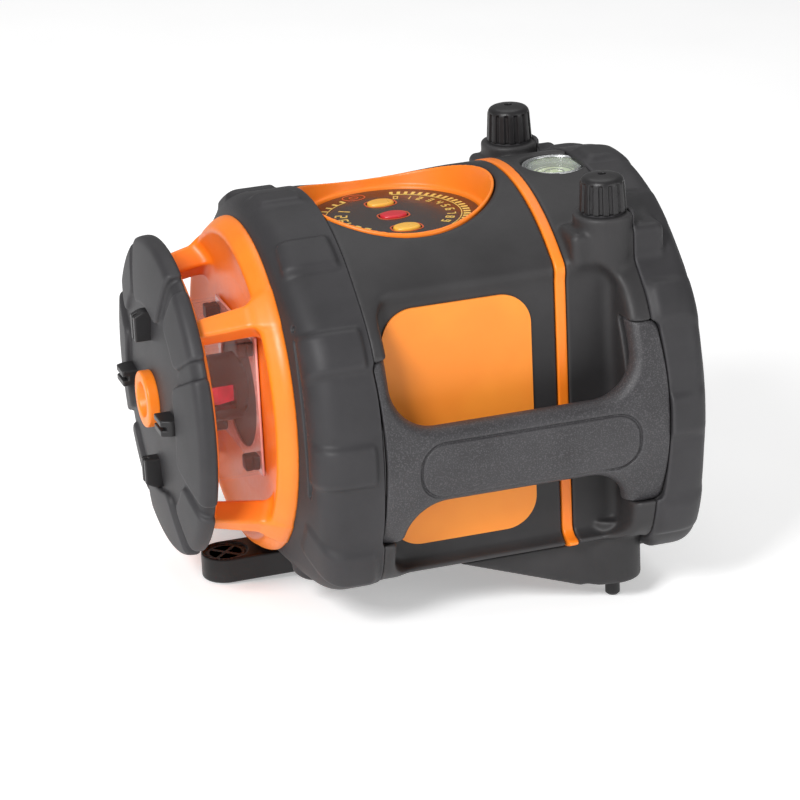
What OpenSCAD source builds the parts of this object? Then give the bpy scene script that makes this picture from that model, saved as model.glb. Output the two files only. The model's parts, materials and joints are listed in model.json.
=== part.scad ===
// Self-levelling rotating laser, lying on its side in wall-layout position.
// The rotor axis is X. The laser head points to -X, the base with its tripod thread faces +X,
// and the control panel looks up to +Z. The origin is the mouth of the tripod thread.

/* [Drum] */
// Length from the base face to the front shoulder of the body
body_len = 162; // [150:1:170]
// Radius of the round drum
drum_r = 81; // [78:1:84]
// Height of the drum's centre line over the rotor axis
drum_z = -8; // [-10:1:-6]
// Height of the drum's flat underside over the rotor axis
drum_floor = -66; // [-68:1:-64]
// Wall thickness of the moulded housings
wall = 3; // [2.4:0.2:3.4]
// Distance of each flat handle recess from the middle plane
flat_y = 59.5; // [58:0.5:61]
// Width of the coloured trim ring between the housings
trim_w = 4.4; // [3:0.2:6]

/* [Bumpers] */
// Radius over the pads of the front bumper
front_band_r = 84.5; // [83.5:0.5:86]
// Radius over the pads of the rear bumper
rear_band_r = 85.5; // [84.5:0.5:87]
// Height of the raised pads on both bumpers
pad_h = 2.2; // [1:0.2:2.4]
// Width of each bumper pad along the rim
pad_w = 17; // [12:1:22]

/* [Handles] */
// Outer radius of each handle, about the drum's centre line
handle_r = 86.5; // [86:0.5:88]
// Thickness of the handle from its inner to its outer face
handle_t = 11.5; // [10:0.5:12]
// Height of the top edge of the grip bar
grip_top = 2; // [0:1:4]
// Height of the bottom edge of the grip bar
grip_bottom = -30; // [-32:1:-28]

/* [Head] */
// Radius of the protective cap over the rotor
cap_r = 65; // [62:1:67]
// Radius of the cage's base flange
flange_r = 67.5; // [66:0.5:69]
// Distance from the cage's base flange to the underside of the cap
cage_gap = 29; // [27:1:31]
// Half the width of the square glass lantern
lantern_half = 29; // [28:0.5:30]
// Radius of the spinning rotor head
rotor_r = 13.5; // [12:0.5:15]

/* [Controls] */
// Radius of the round control panel
panel_r = 35; // [33:1:36]
// Height of the panel's face over the rotor axis
panel_z = 61; // [60:0.5:62]
// Distance between neighbouring buttons
button_pitch = 17; // [16:0.5:18]
// Travel of a button when pressed
button_travel = 0.8; // [0.5:0.1:1]

/* [Levelling feet] */
// Distance of each foot screw from the middle plane
leg_y = 53.5; // [53:0.1:53.8]
// Radius of a foot screw's knob
knob_r = 9.5; // [9:0.1:10]
// Height of a foot pin's tip over the rotor axis
leg_tip_z = -94; // [-96:1:-92]
// Radius of a foot pin
leg_pin_r = 3; // [3:0.1:3.4]

/* [Tripod mount] */
// Wall radius of the 5/8 inch tripod thread, at its minor diameter
tripod_r = 6.75; // [6.7:0.05:6.95]
// Length of the tripod thread
tripod_len = 14; // [12:1:16]

/* [Hidden] */
$fn = 96;

eps = 0.1;            // overlap that keeps cuts clean
run = 0.05;           // radial running clearance of a shaft in its hole
fit = 0.1;            // clearance between parts that are assembled by hand

// Stations along the rotor axis, all negative because the base face is at zero
shoulder_x = -body_len;
housing_front = shoulder_x + 7;
band_rear = shoulder_x + 28;
trim_front = -53.4;
trim_rear = trim_front + trim_w;
rear_band_front = -16;
front_boot_floor = -70;
rear_boot_floor = -77;
pad_front = housing_front + 2;
pad_rear = shoulder_x + 24;
plate_t = 3;
cap_back = shoulder_x - cage_gap;
lantern_base = shoulder_x - 4;
lantern_base_t = 1;

// Handle recess and handle ends
recess_front = -128;
recess_rear = -30;
recess_top = 49;
recess_bottom = -62;
handle_front = -136;
handle_rear = -17;
handle_end_top = 30;
handle_end_bottom = -45;
handle_screw_x = [handle_front + 3, handle_rear - 6];
handle_screw_z = [handle_end_top - 8, handle_end_bottom + 8];
handle_screw_r = 1.5;
handle_screw_head_r = 2.6;

// Cage between body and cap
neck_r = 66;
throat_r = 48;
flange_t = 8;
floor_t = shoulder_x - lantern_base;
bellows_r = 25.5;
post_angles = [45, 135, 225, 315];
post_mid_r = 59;
post_in_r = 49;
cap_t = 13.6;
cap_face_r = 36;

// Control panel and vial
panel_x = -99;
vial_x = -30.5;
vial_r = 13.5;
vial_top = 72.6;

// Foot screws
leg_x = -30.4;
collar_r = 11.9;
collar_top = 68.5;
knob_bottom = 69.2;
knob_top = 84;
screw_r = 2;
guide_half = 4;
tower_bottom = -85;
tower_r = 11.5;
gusset_half = 7;
gusset_len = 66;      // from the foot screw forward, under the front housing
gusset_foot = 16;     // from the foot screw forward, where its lower edge is lowest

// Laser unit
gimbal_x = -146;
tube_r = 14;
tube_front = -154;
tube_rear = -72;
pivot_r = 2;
rotor_x = -177.5;
shaft_r = 5;
ring_in = 33;
ring_out = 38.5;
rotor_pulley_r = 9;
motor_pulley_r = 4.5;   // half the rotor pulley, so the motor turns twice as fast
motor_offset = 24;    // distance from the rotor axis to the motor axis
arm_reach = 38;       // distance from the rotor axis to a tilt screw
arm_x = -130;
lens_x = -103;
tilt_screw_r = 1.5;

// Battery bay in the base
bay_half_w = 33;
bay_bottom = -59;
bay_top = -25;
door_pivot_x = -3.2;
door_pivot_z = bay_top + 2.6;
latch_z = bay_bottom + 8;

housing_color = "dimgray";
rubber_color = [0.22, 0.22, 0.23];
orange_color = "darkorange";
steel_color = "silver";

// ---------- helpers ----------

// Extrudes a YZ outline along the rotor axis from x0 to x1
module along_x(x0, x1) {
  translate([x0, 0, 0]) rotate([90, 0, 90]) linear_extrude(x1 - x0) children();
}

// A round rod along the rotor axis, radius r0 at x0 and r1 at x1
module rod_x(x0, x1, r0, r1 = -1) {
  translate([x0, 0, 0]) rotate([0, 90, 0])
    cylinder(h = x1 - x0, r1 = r0, r2 = r1 < 0 ? r0 : r1);
}

// A ring along the rotor axis
module tube_x(x0, x1, r_out, r_in) {
  difference() {
    rod_x(x0, x1, r_out);
    rod_x(x0 - eps, x1 + eps, r_in);
  }
}

// A box given by its low and high corners
module span(low, high) {
  translate(low) cube(high - low);
}

// A vertical rod
module post_z(x, y, z0, z1, r) {
  translate([x, y, z0]) cylinder(h = z1 - z0, r = r);
}

// Copies the children to both sides of the middle plane
module both_sides() {
  children();
  mirror([0, 1, 0]) children();
}

// Outline of a round band with a flat underside
module band_outline(r, centre_z, floor_z) {
  intersection() {
    translate([0, centre_z]) circle(r = r);
    translate([-r, floor_z]) square([2 * r, 2 * r]);
  }
}

// Outline of the drum, made smaller by inset
module drum_outline(inset = 0) {
  band_outline(drum_r - inset, drum_z, drum_floor + inset);
}

// The handle recess on the near side, made larger by grow
module recess(grow = 0) {
  span([recess_front - grow, -2 * drum_r, recess_bottom - grow],
       [recess_rear + grow, -flat_y + grow, recess_top + grow]);
}

// The curved block that a handle fills, made larger by grow
module handle_block(grow = 0) {
  intersection() {
    span([handle_front - grow, -2 * drum_r, handle_end_bottom - grow],
         [handle_rear + grow, 0, handle_end_top + grow]);
    difference() {
      translate([0, 0, drum_z]) rod_x(handle_front - 2 * wall, handle_rear + 2 * wall, handle_r + grow);
      translate([0, 0, drum_z])
        rod_x(handle_front - 3 * wall, handle_rear + 3 * wall, handle_r - handle_t - grow);
    }
  }
}

// The drum as a solid between two stations, less both handle recesses
module drum_solid(x0, x1, inset = 0) {
  difference() {
    along_x(x0, x1) drum_outline(inset);
    both_sides() {
      recess(inset);
      handle_block(fit + inset);
    }
  }
}

// A rectangle with round corners, centred
module rounded_outline(w, h, r) {
  square([w - 2 * r, h], center = true);
  square([w, h - 2 * r], center = true);
  for (x = [-1, 1], y = [-1, 1]) translate([x * (w / 2 - r), y * (h / 2 - r)]) circle(r = r);
}

// ---------- casings ----------

// Head-side half of the body, a moulded shell with an open throat
module front_housing() color(housing_color)
  difference() {
    union() {
      difference() {
        drum_solid(housing_front, trim_front);
        drum_solid(housing_front + wall, trim_front + eps, wall);
      }
      rod_x(shoulder_x, housing_front + wall, neck_r);
      panel_well(wall);
    }
    rod_x(shoulder_x - eps, housing_front + wall + eps, throat_r);
    panel_well(0);
    for (y = button_y) post_z(panel_x, y, panel_z - 9, panel_z, 4);
    handle_screw_holes(handle_screw_x[0]);
    for (a = post_angles) rotate([a, 0, 0])
      translate([0, 0, post_mid_r]) rod_x(shoulder_x - eps, housing_front + wall + eps, 1.6);
  }

// The well that holds the panel bezel, made larger by grow
module panel_well(grow) {
  intersection() {
    post_z(panel_x, 0, panel_z - 5 - grow, drum_r, panel_r + 4 + grow);
    along_x(housing_front, trim_front) drum_outline(grow == 0 ? -eps : 0);
  }
}

// Holes in a housing for the screws that hold both handles at station x, with room for their heads
module handle_screw_holes(x) {
  both_sides() for (z = handle_screw_z) translate([x, 0, z]) rotate([90, 0, 0]) {
    translate([0, 0, 30]) cylinder(h = 60, r = handle_screw_r + run);
    translate([0, 0, 50]) cylinder(h = 13, r = handle_screw_head_r + 2 * fit);
  }
}

// Base-side half of the body, with collars, foot towers and the vial seat
module rear_housing() color(housing_color)
  difference() {
    union() {
      difference() {
        drum_solid(trim_rear, -plate_t);
        drum_solid(trim_rear - eps, -plate_t + eps, wall);
      }
      both_sides() leg_tower();
      post_z(vial_x, 0, vial_top - 14, vial_top - 2, vial_r + 2.5);
      base_screw_places() rod_x(-13, -plate_t, 6);
    }
    post_z(vial_x, 0, vial_top - 12, vial_top + 2, vial_r);
    both_sides() leg_bore();
    handle_screw_holes(handle_screw_x[1]);
    base_screw_places() rod_x(-13 - eps, 0, 1.6);
  }

// One foot screw's collar on top, guide inside and tower below
module leg_tower() {
  difference() {
    post_z(leg_x, -leg_y, 42, collar_top, collar_r);
    recess();
  }
  translate([leg_x, -leg_y, 0]) {
    span([0, -8, 52], [-leg_x + rear_band_front, 8, 63]);
    span([-guide_half - 2, -guide_half - 2, drum_floor], [guide_half + 2, guide_half + 2, -42]);
    post_z(0, 0, tower_bottom, drum_floor + wall, tower_r);
    translate([0, gusset_half, 0]) rotate([90, 0, 0]) linear_extrude(2 * gusset_half)
      polygon([[0, drum_floor + 1], [trim_rear - leg_x, drum_floor + 1],
               [trim_rear - leg_x, drum_floor - 0.6], [-gusset_len, drum_floor - 0.6],
               [-gusset_len, drum_floor - 1.2], [-gusset_foot, tower_bottom], [0, tower_bottom]]);
  }
}

// One foot screw's journal, square guide and pin outlet
module leg_bore() {
  translate([leg_x, -leg_y, 0]) {
    post_z(0, 0, 40, collar_top + eps, screw_r + run);
    span([-guide_half - fit, -guide_half - fit, -79], [guide_half + fit, guide_half + fit, -42 + eps]);
    post_z(0, 0, tower_bottom - eps, -78, leg_pin_r + run);
  }
}

// Coloured ring that covers the joint between the two housings
module trim_ring() color(orange_color)
  difference() {
    drum_solid(trim_front, trim_rear, -0.4);
    drum_solid(trim_front - eps, trim_rear + eps, wall);
  }

// Twelve raised pads around a bumper band
module bumper_pads(x0, x1, r, floor_z) {
  intersection() {
    along_x(x0, x1) band_outline(r, drum_z, floor_z);
    for (a = [0:30:330])
      translate([0, 0, drum_z]) rotate([a, 0, 0]) span([x0, -pad_w / 2, 50], [x1, pad_w / 2, r + 1]);
  }
}

// Soft boot around the front shoulder
module front_bumper() color(rubber_color)
  difference() {
    union() {
      rod_x(shoulder_x, housing_front, flange_r + 0.5, drum_r - 1);
      along_x(housing_front, band_rear)
        band_outline(front_band_r - pad_h, drum_z, front_boot_floor + pad_h);
      bumper_pads(pad_front, pad_rear, front_band_r, front_boot_floor);
    }
    span([shoulder_x - 1, -100, -100], [band_rear, 100, front_boot_floor]);
    rod_x(shoulder_x - eps, housing_front + eps, neck_r);
    along_x(housing_front, band_rear + eps) drum_outline();
    both_sides() handle_block(fit);
  }

// Soft boot around the base
module rear_bumper() color(rubber_color)
  difference() {
    union() {
      along_x(rear_band_front, 0) band_outline(rear_band_r - pad_h, drum_z, rear_boot_floor + pad_h);
      bumper_pads(rear_band_front, -1.5, rear_band_r, rear_boot_floor);
    }
    along_x(rear_band_front - eps, eps) drum_outline();
    both_sides() handle_block(fit);
    both_sides() leg_tower();
  }

// Flat plate that closes the base, with the battery bay
module base_plate() color(housing_color)
  difference() {
    union() {
      along_x(-plate_t, 0) drum_outline(0.1);
      span([-7, -bay_half_w - 4, bay_bottom - 3], [-1, bay_half_w + 4, bay_top + 9]);
      rod_x(-17, -1, 17);
    }
    rod_x(-18, eps, 11);
    rod_x(-3, eps, 14);
    span([-8, -bay_half_w, bay_bottom], [eps, bay_half_w, bay_top]);
    span([-6.4, -bay_half_w, bay_top - eps], [eps, bay_half_w, bay_top + 5.6]);
    translate([door_pivot_x, 0, door_pivot_z]) rotate([90, 0, 0])
      cylinder(h = 2 * bay_half_w + 7, r = 1, center = true);
    base_screw_places() {
      rod_x(-8, eps, 1.6);
      rod_x(-1.8, eps, 3.1);
    }
  }

// Six places around the rim of the base where its screws go
module base_screw_places() {
  for (a = [30, 78, 126, 234, 282, 330])
    translate([0, 73 * sin(a), drum_z + 73 * cos(a)]) children();
}

// Screws that hold the base plate
module base_screws() color(steel_color)
  base_screw_places() difference() {
    union() {
      rod_x(-11, -1.8, 1.5);
      rod_x(-1.8, -0.3, 3);
    }
    translate([-1.3, 0, 0]) rotate([0, 90, 0]) cylinder(h = 2, r = 1.4, $fn = 6);
  }

// Metal insert with the tripod thread
module tripod_insert() color("goldenrod")
  difference() {
    union() {
      rod_x(-tripod_len - 2, 0, 11);
      rod_x(-3, 0, 14);
    }
    rod_x(-tripod_len, eps, tripod_r);
  }

// ---------- handles ----------

// Carrying handle on the near side
module handle() {
  difference() {
    handle_block();
    span([recess_front, -2 * drum_r, grip_top], [recess_rear, 0, 90]);
    span([recess_front + 10, -2 * drum_r, -90], [recess_rear - 8, 0, grip_bottom]);
    for (x = handle_screw_x, z = handle_screw_z)
      translate([x, -76, z]) rotate([-90, 0, 0]) cylinder(h = 30, r = handle_screw_r);
  }
}

module left_handle() color(housing_color) handle();
module right_handle() color(housing_color) mirror([0, 1, 0]) handle();

// Screws driven from inside the housings into the handles
module handle_screws() color(steel_color)
  both_sides()
    for (x = handle_screw_x, z = handle_screw_z) translate([x, -76, z]) rotate([-90, 0, 0]) {
      cylinder(h = 16, r = handle_screw_r);
      translate([0, 0, 13.5]) cylinder(h = 2.5, r = handle_screw_head_r);
    }

// Coloured plates on the flats behind the handles
module side_plates() color(orange_color)
  both_sides()
    translate([-94.5, -flat_y, -6]) rotate([90, 0, 0]) linear_extrude(0.8) rounded_outline(61, 98, 13);

// ---------- head ----------

// Cage of four posts that carries the cap over the rotor
module rotor_cage() color(orange_color)
  difference() {
    union() {
      rod_x(shoulder_x - flange_t, shoulder_x, flange_r - 2, flange_r);
      for (a = post_angles) rotate([a, 0, 0])
        span([cap_back, -4.4, post_in_r], [shoulder_x, 4.4, post_mid_r + 4]);
      rod_x(cap_back - 2, cap_back, cap_r - 3);
    }
    rod_x(shoulder_x - flange_t - eps, shoulder_x - floor_t, post_mid_r - 6, lantern_half * sqrt(2) + 2);
    rod_x(shoulder_x - flange_t, shoulder_x + eps, bellows_r + fit);
    rod_x(cap_back - 3, cap_back + eps, 8);
    for (a = post_angles) rotate([a, 0, 0])
      translate([0, 0, post_mid_r]) rod_x(shoulder_x - 9, shoulder_x + eps, 1.5);
  }

// Screws driven from inside the body into the cage posts
module cage_screws() color(steel_color)
  for (a = post_angles) rotate([a, 0, 0])
    translate([0, 0, post_mid_r]) {
      rod_x(shoulder_x - 8, housing_front + wall, 1.5);
      rod_x(housing_front + wall, housing_front + wall + 2, 2.8);
    }

// Soft protective cap with four lobes
module head_cap() color(rubber_color)
  difference() {
    rotate([0, -90, 0]) translate([0, 0, -cap_back + 2]) rotate_extrude()
      polygon([[8, 0], [cap_r, 0], [cap_r, 2.5], [cap_r - 5, 7], [cap_face_r + 12, cap_t - 4],
               [cap_face_r, cap_t - 2], [8, cap_t - 2]]);
    for (a = post_angles) rotate([a, 0, 0])
      span([cap_back - cap_t - 5, -8, cap_r - 3], [cap_back + eps, 8, cap_r + 5]);
    sight_places() span([cap_back - cap_t - 5, -2.1, -2.1], [cap_back - cap_t + 3, 2.1, 2.1]);
  }

// Coloured collar around the plumb beam outlet
module cap_bezel() color(orange_color)
  difference() {
    union() {
      rod_x(cap_back - cap_t - 2.2, cap_back - cap_t, 11.4);
      rod_x(cap_back - cap_t, cap_back, 8);
    }
    rod_x(cap_back - cap_t - 4, cap_back + eps, 5.5);
  }

// The four places of the sight blades
module sight_places() {
  for (a = [0, 90, 180, 270]) rotate([a, 0, 0]) translate([0, 0, 31]) children();
}

// Notched sight blades clipped into the cap
module sight_blades() color([0.1, 0.1, 0.1])
  sight_places() difference() {
    union() {
      span([cap_back - cap_t - 3.6, -3, -6], [cap_back - cap_t, 3, 6]);
      span([cap_back - cap_t - 1, -2, -2], [cap_back - cap_t + 3, 2, 2]);
    }
    span([cap_back - cap_t - 4, -0.7, -7], [cap_back - cap_t - 2, 0.7, 7]);
  }

// Four flat panes around the rotor, moulded onto a square base
module lantern_panes() color([0.9, 0.8, 0.8, 0.4]) {
  for (a = [0, 90, 180, 270]) rotate([a, 0, 0])
    span([cap_back + fit, -lantern_half + 2.2, lantern_half - 2],
         [lantern_base - 0.5, lantern_half - 2.2, lantern_half - 0.2]);
  difference() {
    span([lantern_base - lantern_base_t, -lantern_half, -lantern_half],
         [lantern_base, lantern_half, lantern_half]);
    rod_x(lantern_base - lantern_base_t - eps, lantern_base + eps, bellows_r - 0.5);
  }
}

// Soft blocks that hold the corners of the panes
module pane_pads() color([0.3, 0.3, 0.31])
  for (y = [-1, 1], z = [-1, 1])
    translate([lantern_base - lantern_base_t - 3, y * (lantern_half - 5.1), z * (lantern_half - 5.1)])
      cube(6, center = true);

// Flexible seal between the body and the tilting laser unit
module lantern_bellows() color([0.12, 0.12, 0.13])
  difference() {
    rod_x(shoulder_x - floor_t, shoulder_x - floor_t + 1.6, bellows_r);
    rod_x(shoulder_x - floor_t - eps, shoulder_x, 11);
  }

// ---------- control panel ----------

button_y = [-button_pitch, 0, button_pitch];

// Coloured conical surround of the control panel
module panel_bezel() color(orange_color)
  difference() {
    intersection() {
      post_z(panel_x, 0, panel_z - 5, drum_r, panel_r + 4 - fit);
      along_x(housing_front, trim_front) drum_outline();
    }
    translate([panel_x, 0, panel_z]) cylinder(h = 14, r1 = panel_r, r2 = panel_r + 3.4);
    post_z(panel_x, 0, panel_z - 2, panel_z + eps, panel_r);
    for (y = button_y) post_z(panel_x, y, panel_z - 6, panel_z, 4);
  }

// Round fascia with holes for the buttons
module control_panel() color([0.1, 0.09, 0.09])
  difference() {
    post_z(panel_x, 0, panel_z - 2, panel_z, panel_r - fit);
    for (y = button_y) translate([panel_x, y, panel_z - 3]) linear_extrude(4) button_outline(0.2);
  }

// Rounded button outline, made larger by grow
module button_outline(grow = 0) {
  intersection() {
    circle(r = 5.6 + grow);
    square([11 + 2 * grow, 8.4 + 2 * grow], center = true);
  }
}

// One button with its stem, centred at y
module button(y) {
  translate([panel_x, y, panel_z - 1]) linear_extrude(1.8) button_outline();
  post_z(panel_x, y, panel_z - 7.4, panel_z - 1, 2.2);
}

module near_button() color("gold") button(button_y[0]);
module power_button() color("crimson") button(button_y[1]);
module far_button() color("gold") button(button_y[2]);

// Circuit board with its three push switches, below the panel
module panel_board() color("darkgreen") {
  difference() {
    post_z(panel_x, 0, panel_z - 14, panel_z - 12.4, 30);
    for (x = [-24, 24]) post_z(panel_x + x, 0, panel_z - 15, panel_z - 12, 1.6);
  }
  for (y = button_y)
    span([panel_x - 3, y - 3, panel_z - 12.5], [panel_x + 3, y + 3, panel_z - 7.5 - button_travel]);
}

// ---------- vial ----------

// Metal cup that holds the round vial
module vial_cup() color(steel_color)
  difference() {
    post_z(vial_x, 0, vial_top - 12, vial_top - 0.4, vial_r - fit);
    post_z(vial_x, 0, vial_top - 11, vial_top, 11);
  }

// Clear domed lens of the vial
module vial_lens() color([0.9, 0.95, 0.95, 0.4])
  intersection() {
    post_z(vial_x, 0, vial_top - 3, vial_top + 2, 11 - fit);
    translate([vial_x, 0, vial_top - 70]) sphere(r = 70.6);
  }

// Liquid with its bubble
module vial_fluid() color([0.8, 0.9, 0.5, 0.6])
  difference() {
    post_z(vial_x, 0, vial_top - 10.5, vial_top - 3.1, 9);
    translate([vial_x - 1.6, 1.2, vial_top - 3.1]) sphere(r = 3.2);
  }

// ---------- front foot ----------

foot_x = -177;
foot_top = -72;
foot_bottom = -80.7;

// Fixed foot under the head, with the seat of the beam target
module front_foot() color([0.12, 0.12, 0.13])
  difference() {
    union() {
      post_z(foot_x, 0, foot_bottom, foot_top, 10);
      span([foot_x, -10, foot_bottom], [shoulder_x - 1, 10, foot_top]);
      span([shoulder_x - 1, -10, foot_bottom], [band_rear - 4, 10, front_boot_floor]);
    }
    post_z(foot_x, 0, foot_top - 1, foot_top + eps, 8.8 + run);
  }

// Round target with a cross, for setting the foot over a mark
module beam_target() color([0.15, 0.15, 0.16])
  difference() {
    post_z(foot_x, 0, foot_top - 1, foot_top + 1, 8.8);
    for (a = [0, 90]) translate([foot_x, 0, foot_top + 0.6]) rotate([0, 0, a])
      translate([-7, -0.3, 0]) cube([14, 0.6, 1]);
  }

// ---------- foot screws ----------

// Fluted knob on the near side
module knob() {
  difference() {
    union() {
      translate([leg_x, -leg_y, knob_bottom]) cylinder(h = 12.5, r1 = knob_r, r2 = knob_r - 0.6);
      translate([leg_x, -leg_y, knob_bottom + 12.5])
        cylinder(h = knob_top - knob_bottom - 12.5, r1 = knob_r - 0.6, r2 = knob_r - 3);
    }
    for (a = [0:30:330]) translate([leg_x, -leg_y, knob_bottom - eps]) rotate([0, 0, a])
      translate([knob_r + 0.6, 0, 0]) cylinder(h = 12, r = 1.4);
    post_z(leg_x, -leg_y, knob_bottom - eps, knob_top - 4, screw_r);
    post_z(leg_x, -leg_y, knob_top - 2, knob_top + eps, 1.5);
  }
}

module left_knob() color([0.13, 0.13, 0.14]) knob();
module right_knob() color([0.13, 0.13, 0.14]) mirror([0, 1, 0]) knob();

// Long screw from the knob down to the foot pin
module leadscrew() {
  post_z(leg_x, -leg_y, -72, knob_top - 4, screw_r);
}

module left_leadscrew() color(steel_color) leadscrew();
module right_leadscrew() color(steel_color) mirror([0, 1, 0]) leadscrew();

// Square-shouldered pin that the screw moves up and down
module foot_pin() {
  difference() {
    union() {
      translate([leg_x, -leg_y, 0])
        span([-guide_half, -guide_half, -72], [guide_half, guide_half, -52]);
      post_z(leg_x, -leg_y, leg_tip_z + 1, -71, leg_pin_r);
      translate([leg_x, -leg_y, leg_tip_z]) cylinder(h = 1, r1 = leg_pin_r - 1, r2 = leg_pin_r);
    }
    post_z(leg_x, -leg_y, -82, -52 + eps, screw_r + run);
  }
}

module left_foot_pin() color(steel_color) foot_pin();
module right_foot_pin() color(steel_color) mirror([0, 1, 0]) foot_pin();

// Rubber rings between the knobs and their collars
module knob_seals() color([0.05, 0.05, 0.05])
  both_sides() difference() {
    post_z(leg_x, -leg_y, collar_top, knob_bottom - fit, knob_r - 1);
    post_z(leg_x, -leg_y, collar_top - eps, knob_bottom, screw_r + 3);
  }

// ---------- laser unit ----------

// Ring fixed in the throat that carries the gimbal
module gimbal_frame() color("lightslategray")
  difference() {
    union() {
      tube_x(housing_front + wall, gimbal_x + 6, 50, 41);
      tube_x(housing_front + wall, housing_front + wall + 3, 56, 41);
      actuator_places() actuator_bracket();
    }
    both_sides() translate([gimbal_x, -38, 0]) rotate([90, 0, 0]) cylinder(h = 9, r = pivot_r + run);
    for (a = post_angles) rotate([a, 0, 0])
      translate([0, 0, post_mid_r]) rod_x(housing_front, gimbal_x, 4);
  }

// The places of the two tilt drives: below the axis, and beside it
module actuator_places() {
  children();
  rotate([90, 0, 0]) children();
}

// Bracket that holds one tilt motor behind the frame
module actuator_bracket() {
  difference() {
    union() {
      span([gimbal_x + 5, -7, -arm_reach - 10], [arm_x + 26, 7, -arm_reach - 6]);
      span([arm_x + 22, -7, -arm_reach - 10], [arm_x + 25, 7, -arm_reach + 7]);
    }
    translate([0, 0, -arm_reach]) rod_x(arm_x + 21, arm_x + 26, tilt_screw_r + 0.4);
  }
}

// Ring between frame and tube, with its side trunnions
module gimbal_ring() color("slategray")
  difference() {
    union() {
      tube_x(gimbal_x - 3, gimbal_x + 3, ring_out, ring_in);
      both_sides() translate([gimbal_x, -ring_in - 2, 0])
        rotate([90, 0, 0]) cylinder(h = 11, r = pivot_r);
    }
    post_z(gimbal_x, 0, -ring_out - 1, ring_out + 1, pivot_r + run);
  }

// Barrel of the laser unit, with pivots and tilt arms
module laser_tube() color("gray")
  difference() {
    union() {
      rod_x(tube_front, tube_rear, tube_r);
      post_z(gimbal_x, 0, -ring_out + 1, ring_out - 1, pivot_r);
      post_z(gimbal_x, 0, -ring_in + 6, ring_in - 6, 5);
      actuator_places() {
        span([arm_x - 2, -4, -arm_reach + 2], [arm_x + 2, 4, 0]);
        translate([0, 0, -arm_reach]) rod_x(arm_x - 4, arm_x + 4, 3);
      }
      rotate([-45, 0, 0]) span([arm_x - 6, -5, 0], [arm_x - 2, 5, motor_offset + 8]);
    }
    rod_x(tube_front - eps, tube_front + 18, 9);
    rod_x(tube_front + 17, tube_rear - 12, 7.5);
    rod_x(tube_rear - 13, tube_rear + eps, 9);
    rotate([-45, 0, 0]) translate([0, 0, motor_offset]) rod_x(arm_x - 7, arm_x - 1, 2);
  }

// Pair of ball bearings for the rotor's hollow shaft
module rotor_bearings() color(steel_color)
  for (x = [tube_front, tube_front + 13]) tube_x(x, x + 5, 9, shaft_r + run);

// Laser diode in its holder at the rear of the tube
module laser_diode() color("goldenrod")
  difference() {
    union() {
      rod_x(tube_rear - 10, tube_rear, 9);
      rod_x(tube_rear - 14, tube_rear - 10, 4.5);
      rod_x(tube_rear, tube_rear + 6, 5);
    }
    rod_x(tube_rear - 15, tube_rear - 11, 1.5);
  }

// Lens that makes the beam parallel
module collimator_lens() color([0.8, 0.9, 1, 0.5])
  intersection() {
    rod_x(lens_x - 2.5, lens_x + 3, 7.5);
    translate([lens_x - 21, 0, 0]) sphere(r = 24, $fn = 240);
  }

// Motor that turns the rotor through the belt
module rotor_motor() color(steel_color)
  rotate([-45, 0, 0]) translate([0, 0, motor_offset]) difference() {
    union() {
      rod_x(tube_front + 2, arm_x - 6, 7.8);
      rod_x(arm_x - 6, arm_x - 2, 2);
    }
    rod_x(tube_front - eps, tube_front + 6, 1 + run);
  }

// Small pulley on the motor's shaft
module motor_pulley() color("ivory")
  rotate([-45, 0, 0]) translate([0, 0, motor_offset]) {
    rod_x(tube_front - 4, tube_front - 0.4, motor_pulley_r);
    rod_x(tube_front - 4.6, tube_front - 4, motor_pulley_r + 1.2);
    rod_x(tube_front - 0.4, tube_front + 5, 1);
  }

// Endless belt over both pulleys, with air where it would touch them
module drive_belt() color([0.08, 0.08, 0.08])
  rotate([-45, 0, 0]) along_x(tube_front - 3.6, tube_front - 0.9) difference() {
    belt_outline(1.2);
    belt_outline(0.15);
  }

// Outline around both pulleys at a distance
module belt_outline(grow) {
  hull() {
    circle(r = rotor_pulley_r + grow);
    translate([0, motor_offset]) circle(r = motor_pulley_r + grow);
  }
}

// Spinning head with its beam window
module rotor_head() color([0.16, 0.15, 0.16])
  difference() {
    union() {
      rod_x(rotor_x - 9.5, rotor_x + 9.5, rotor_r);
      rod_x(rotor_x + 9.5, tube_front - 6, 8);
      rod_x(tube_front - 6, tube_front + 18, shaft_r);
    }
    rod_x(rotor_x - 7.5, rotor_x + 7.5, 9.5);
    rod_x(rotor_x - 10, tube_front + 19, 3.4);
    span([rotor_x - 6, -20, -5], [rotor_x + 6, 0, 5]);
  }

// Five-sided prism that turns the beam by a right angle
module rotor_prism() color([0.85, 0.95, 1, 0.5])
  translate([rotor_x, 0, -4.5]) linear_extrude(9)
    polygon([[-5.5, 6], [5.5, 6], [7, -5], [0, -7.5], [-7, -5]]);

// Large pulley on the rotor's shaft
module rotor_pulley() color("ivory")
  difference() {
    union() {
      rod_x(tube_front - 4, tube_front - 0.4, rotor_pulley_r);
      rod_x(tube_front - 4.6, tube_front - 4, rotor_pulley_r + 1.4);
    }
    rod_x(tube_front - 5, tube_front, shaft_r);
  }

// ---------- tilt drives ----------

// Motors that turn the two tilt screws
module tilt_motors() color(steel_color)
  actuator_places() translate([0, 0, -arm_reach]) difference() {
    rod_x(arm_x + 25, arm_x + 38, 6);
    rod_x(arm_x + 24, arm_x + 31, tilt_screw_r + run);
  }

// Screw of one tilt drive
module tilt_screw() {
  translate([0, 0, -arm_reach]) rod_x(arm_x + 10.5, arm_x + 30.5, tilt_screw_r);
}

// Nut that pushes one tilt arm
module tilt_nut() {
  translate([0, 0, -arm_reach]) difference() {
    span([arm_x + 4.3, -4, -5.9], [arm_x + 17.3, 4, 4]);
    rod_x(arm_x + 6.8, arm_x + 18, tilt_screw_r + run);
  }
}

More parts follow.
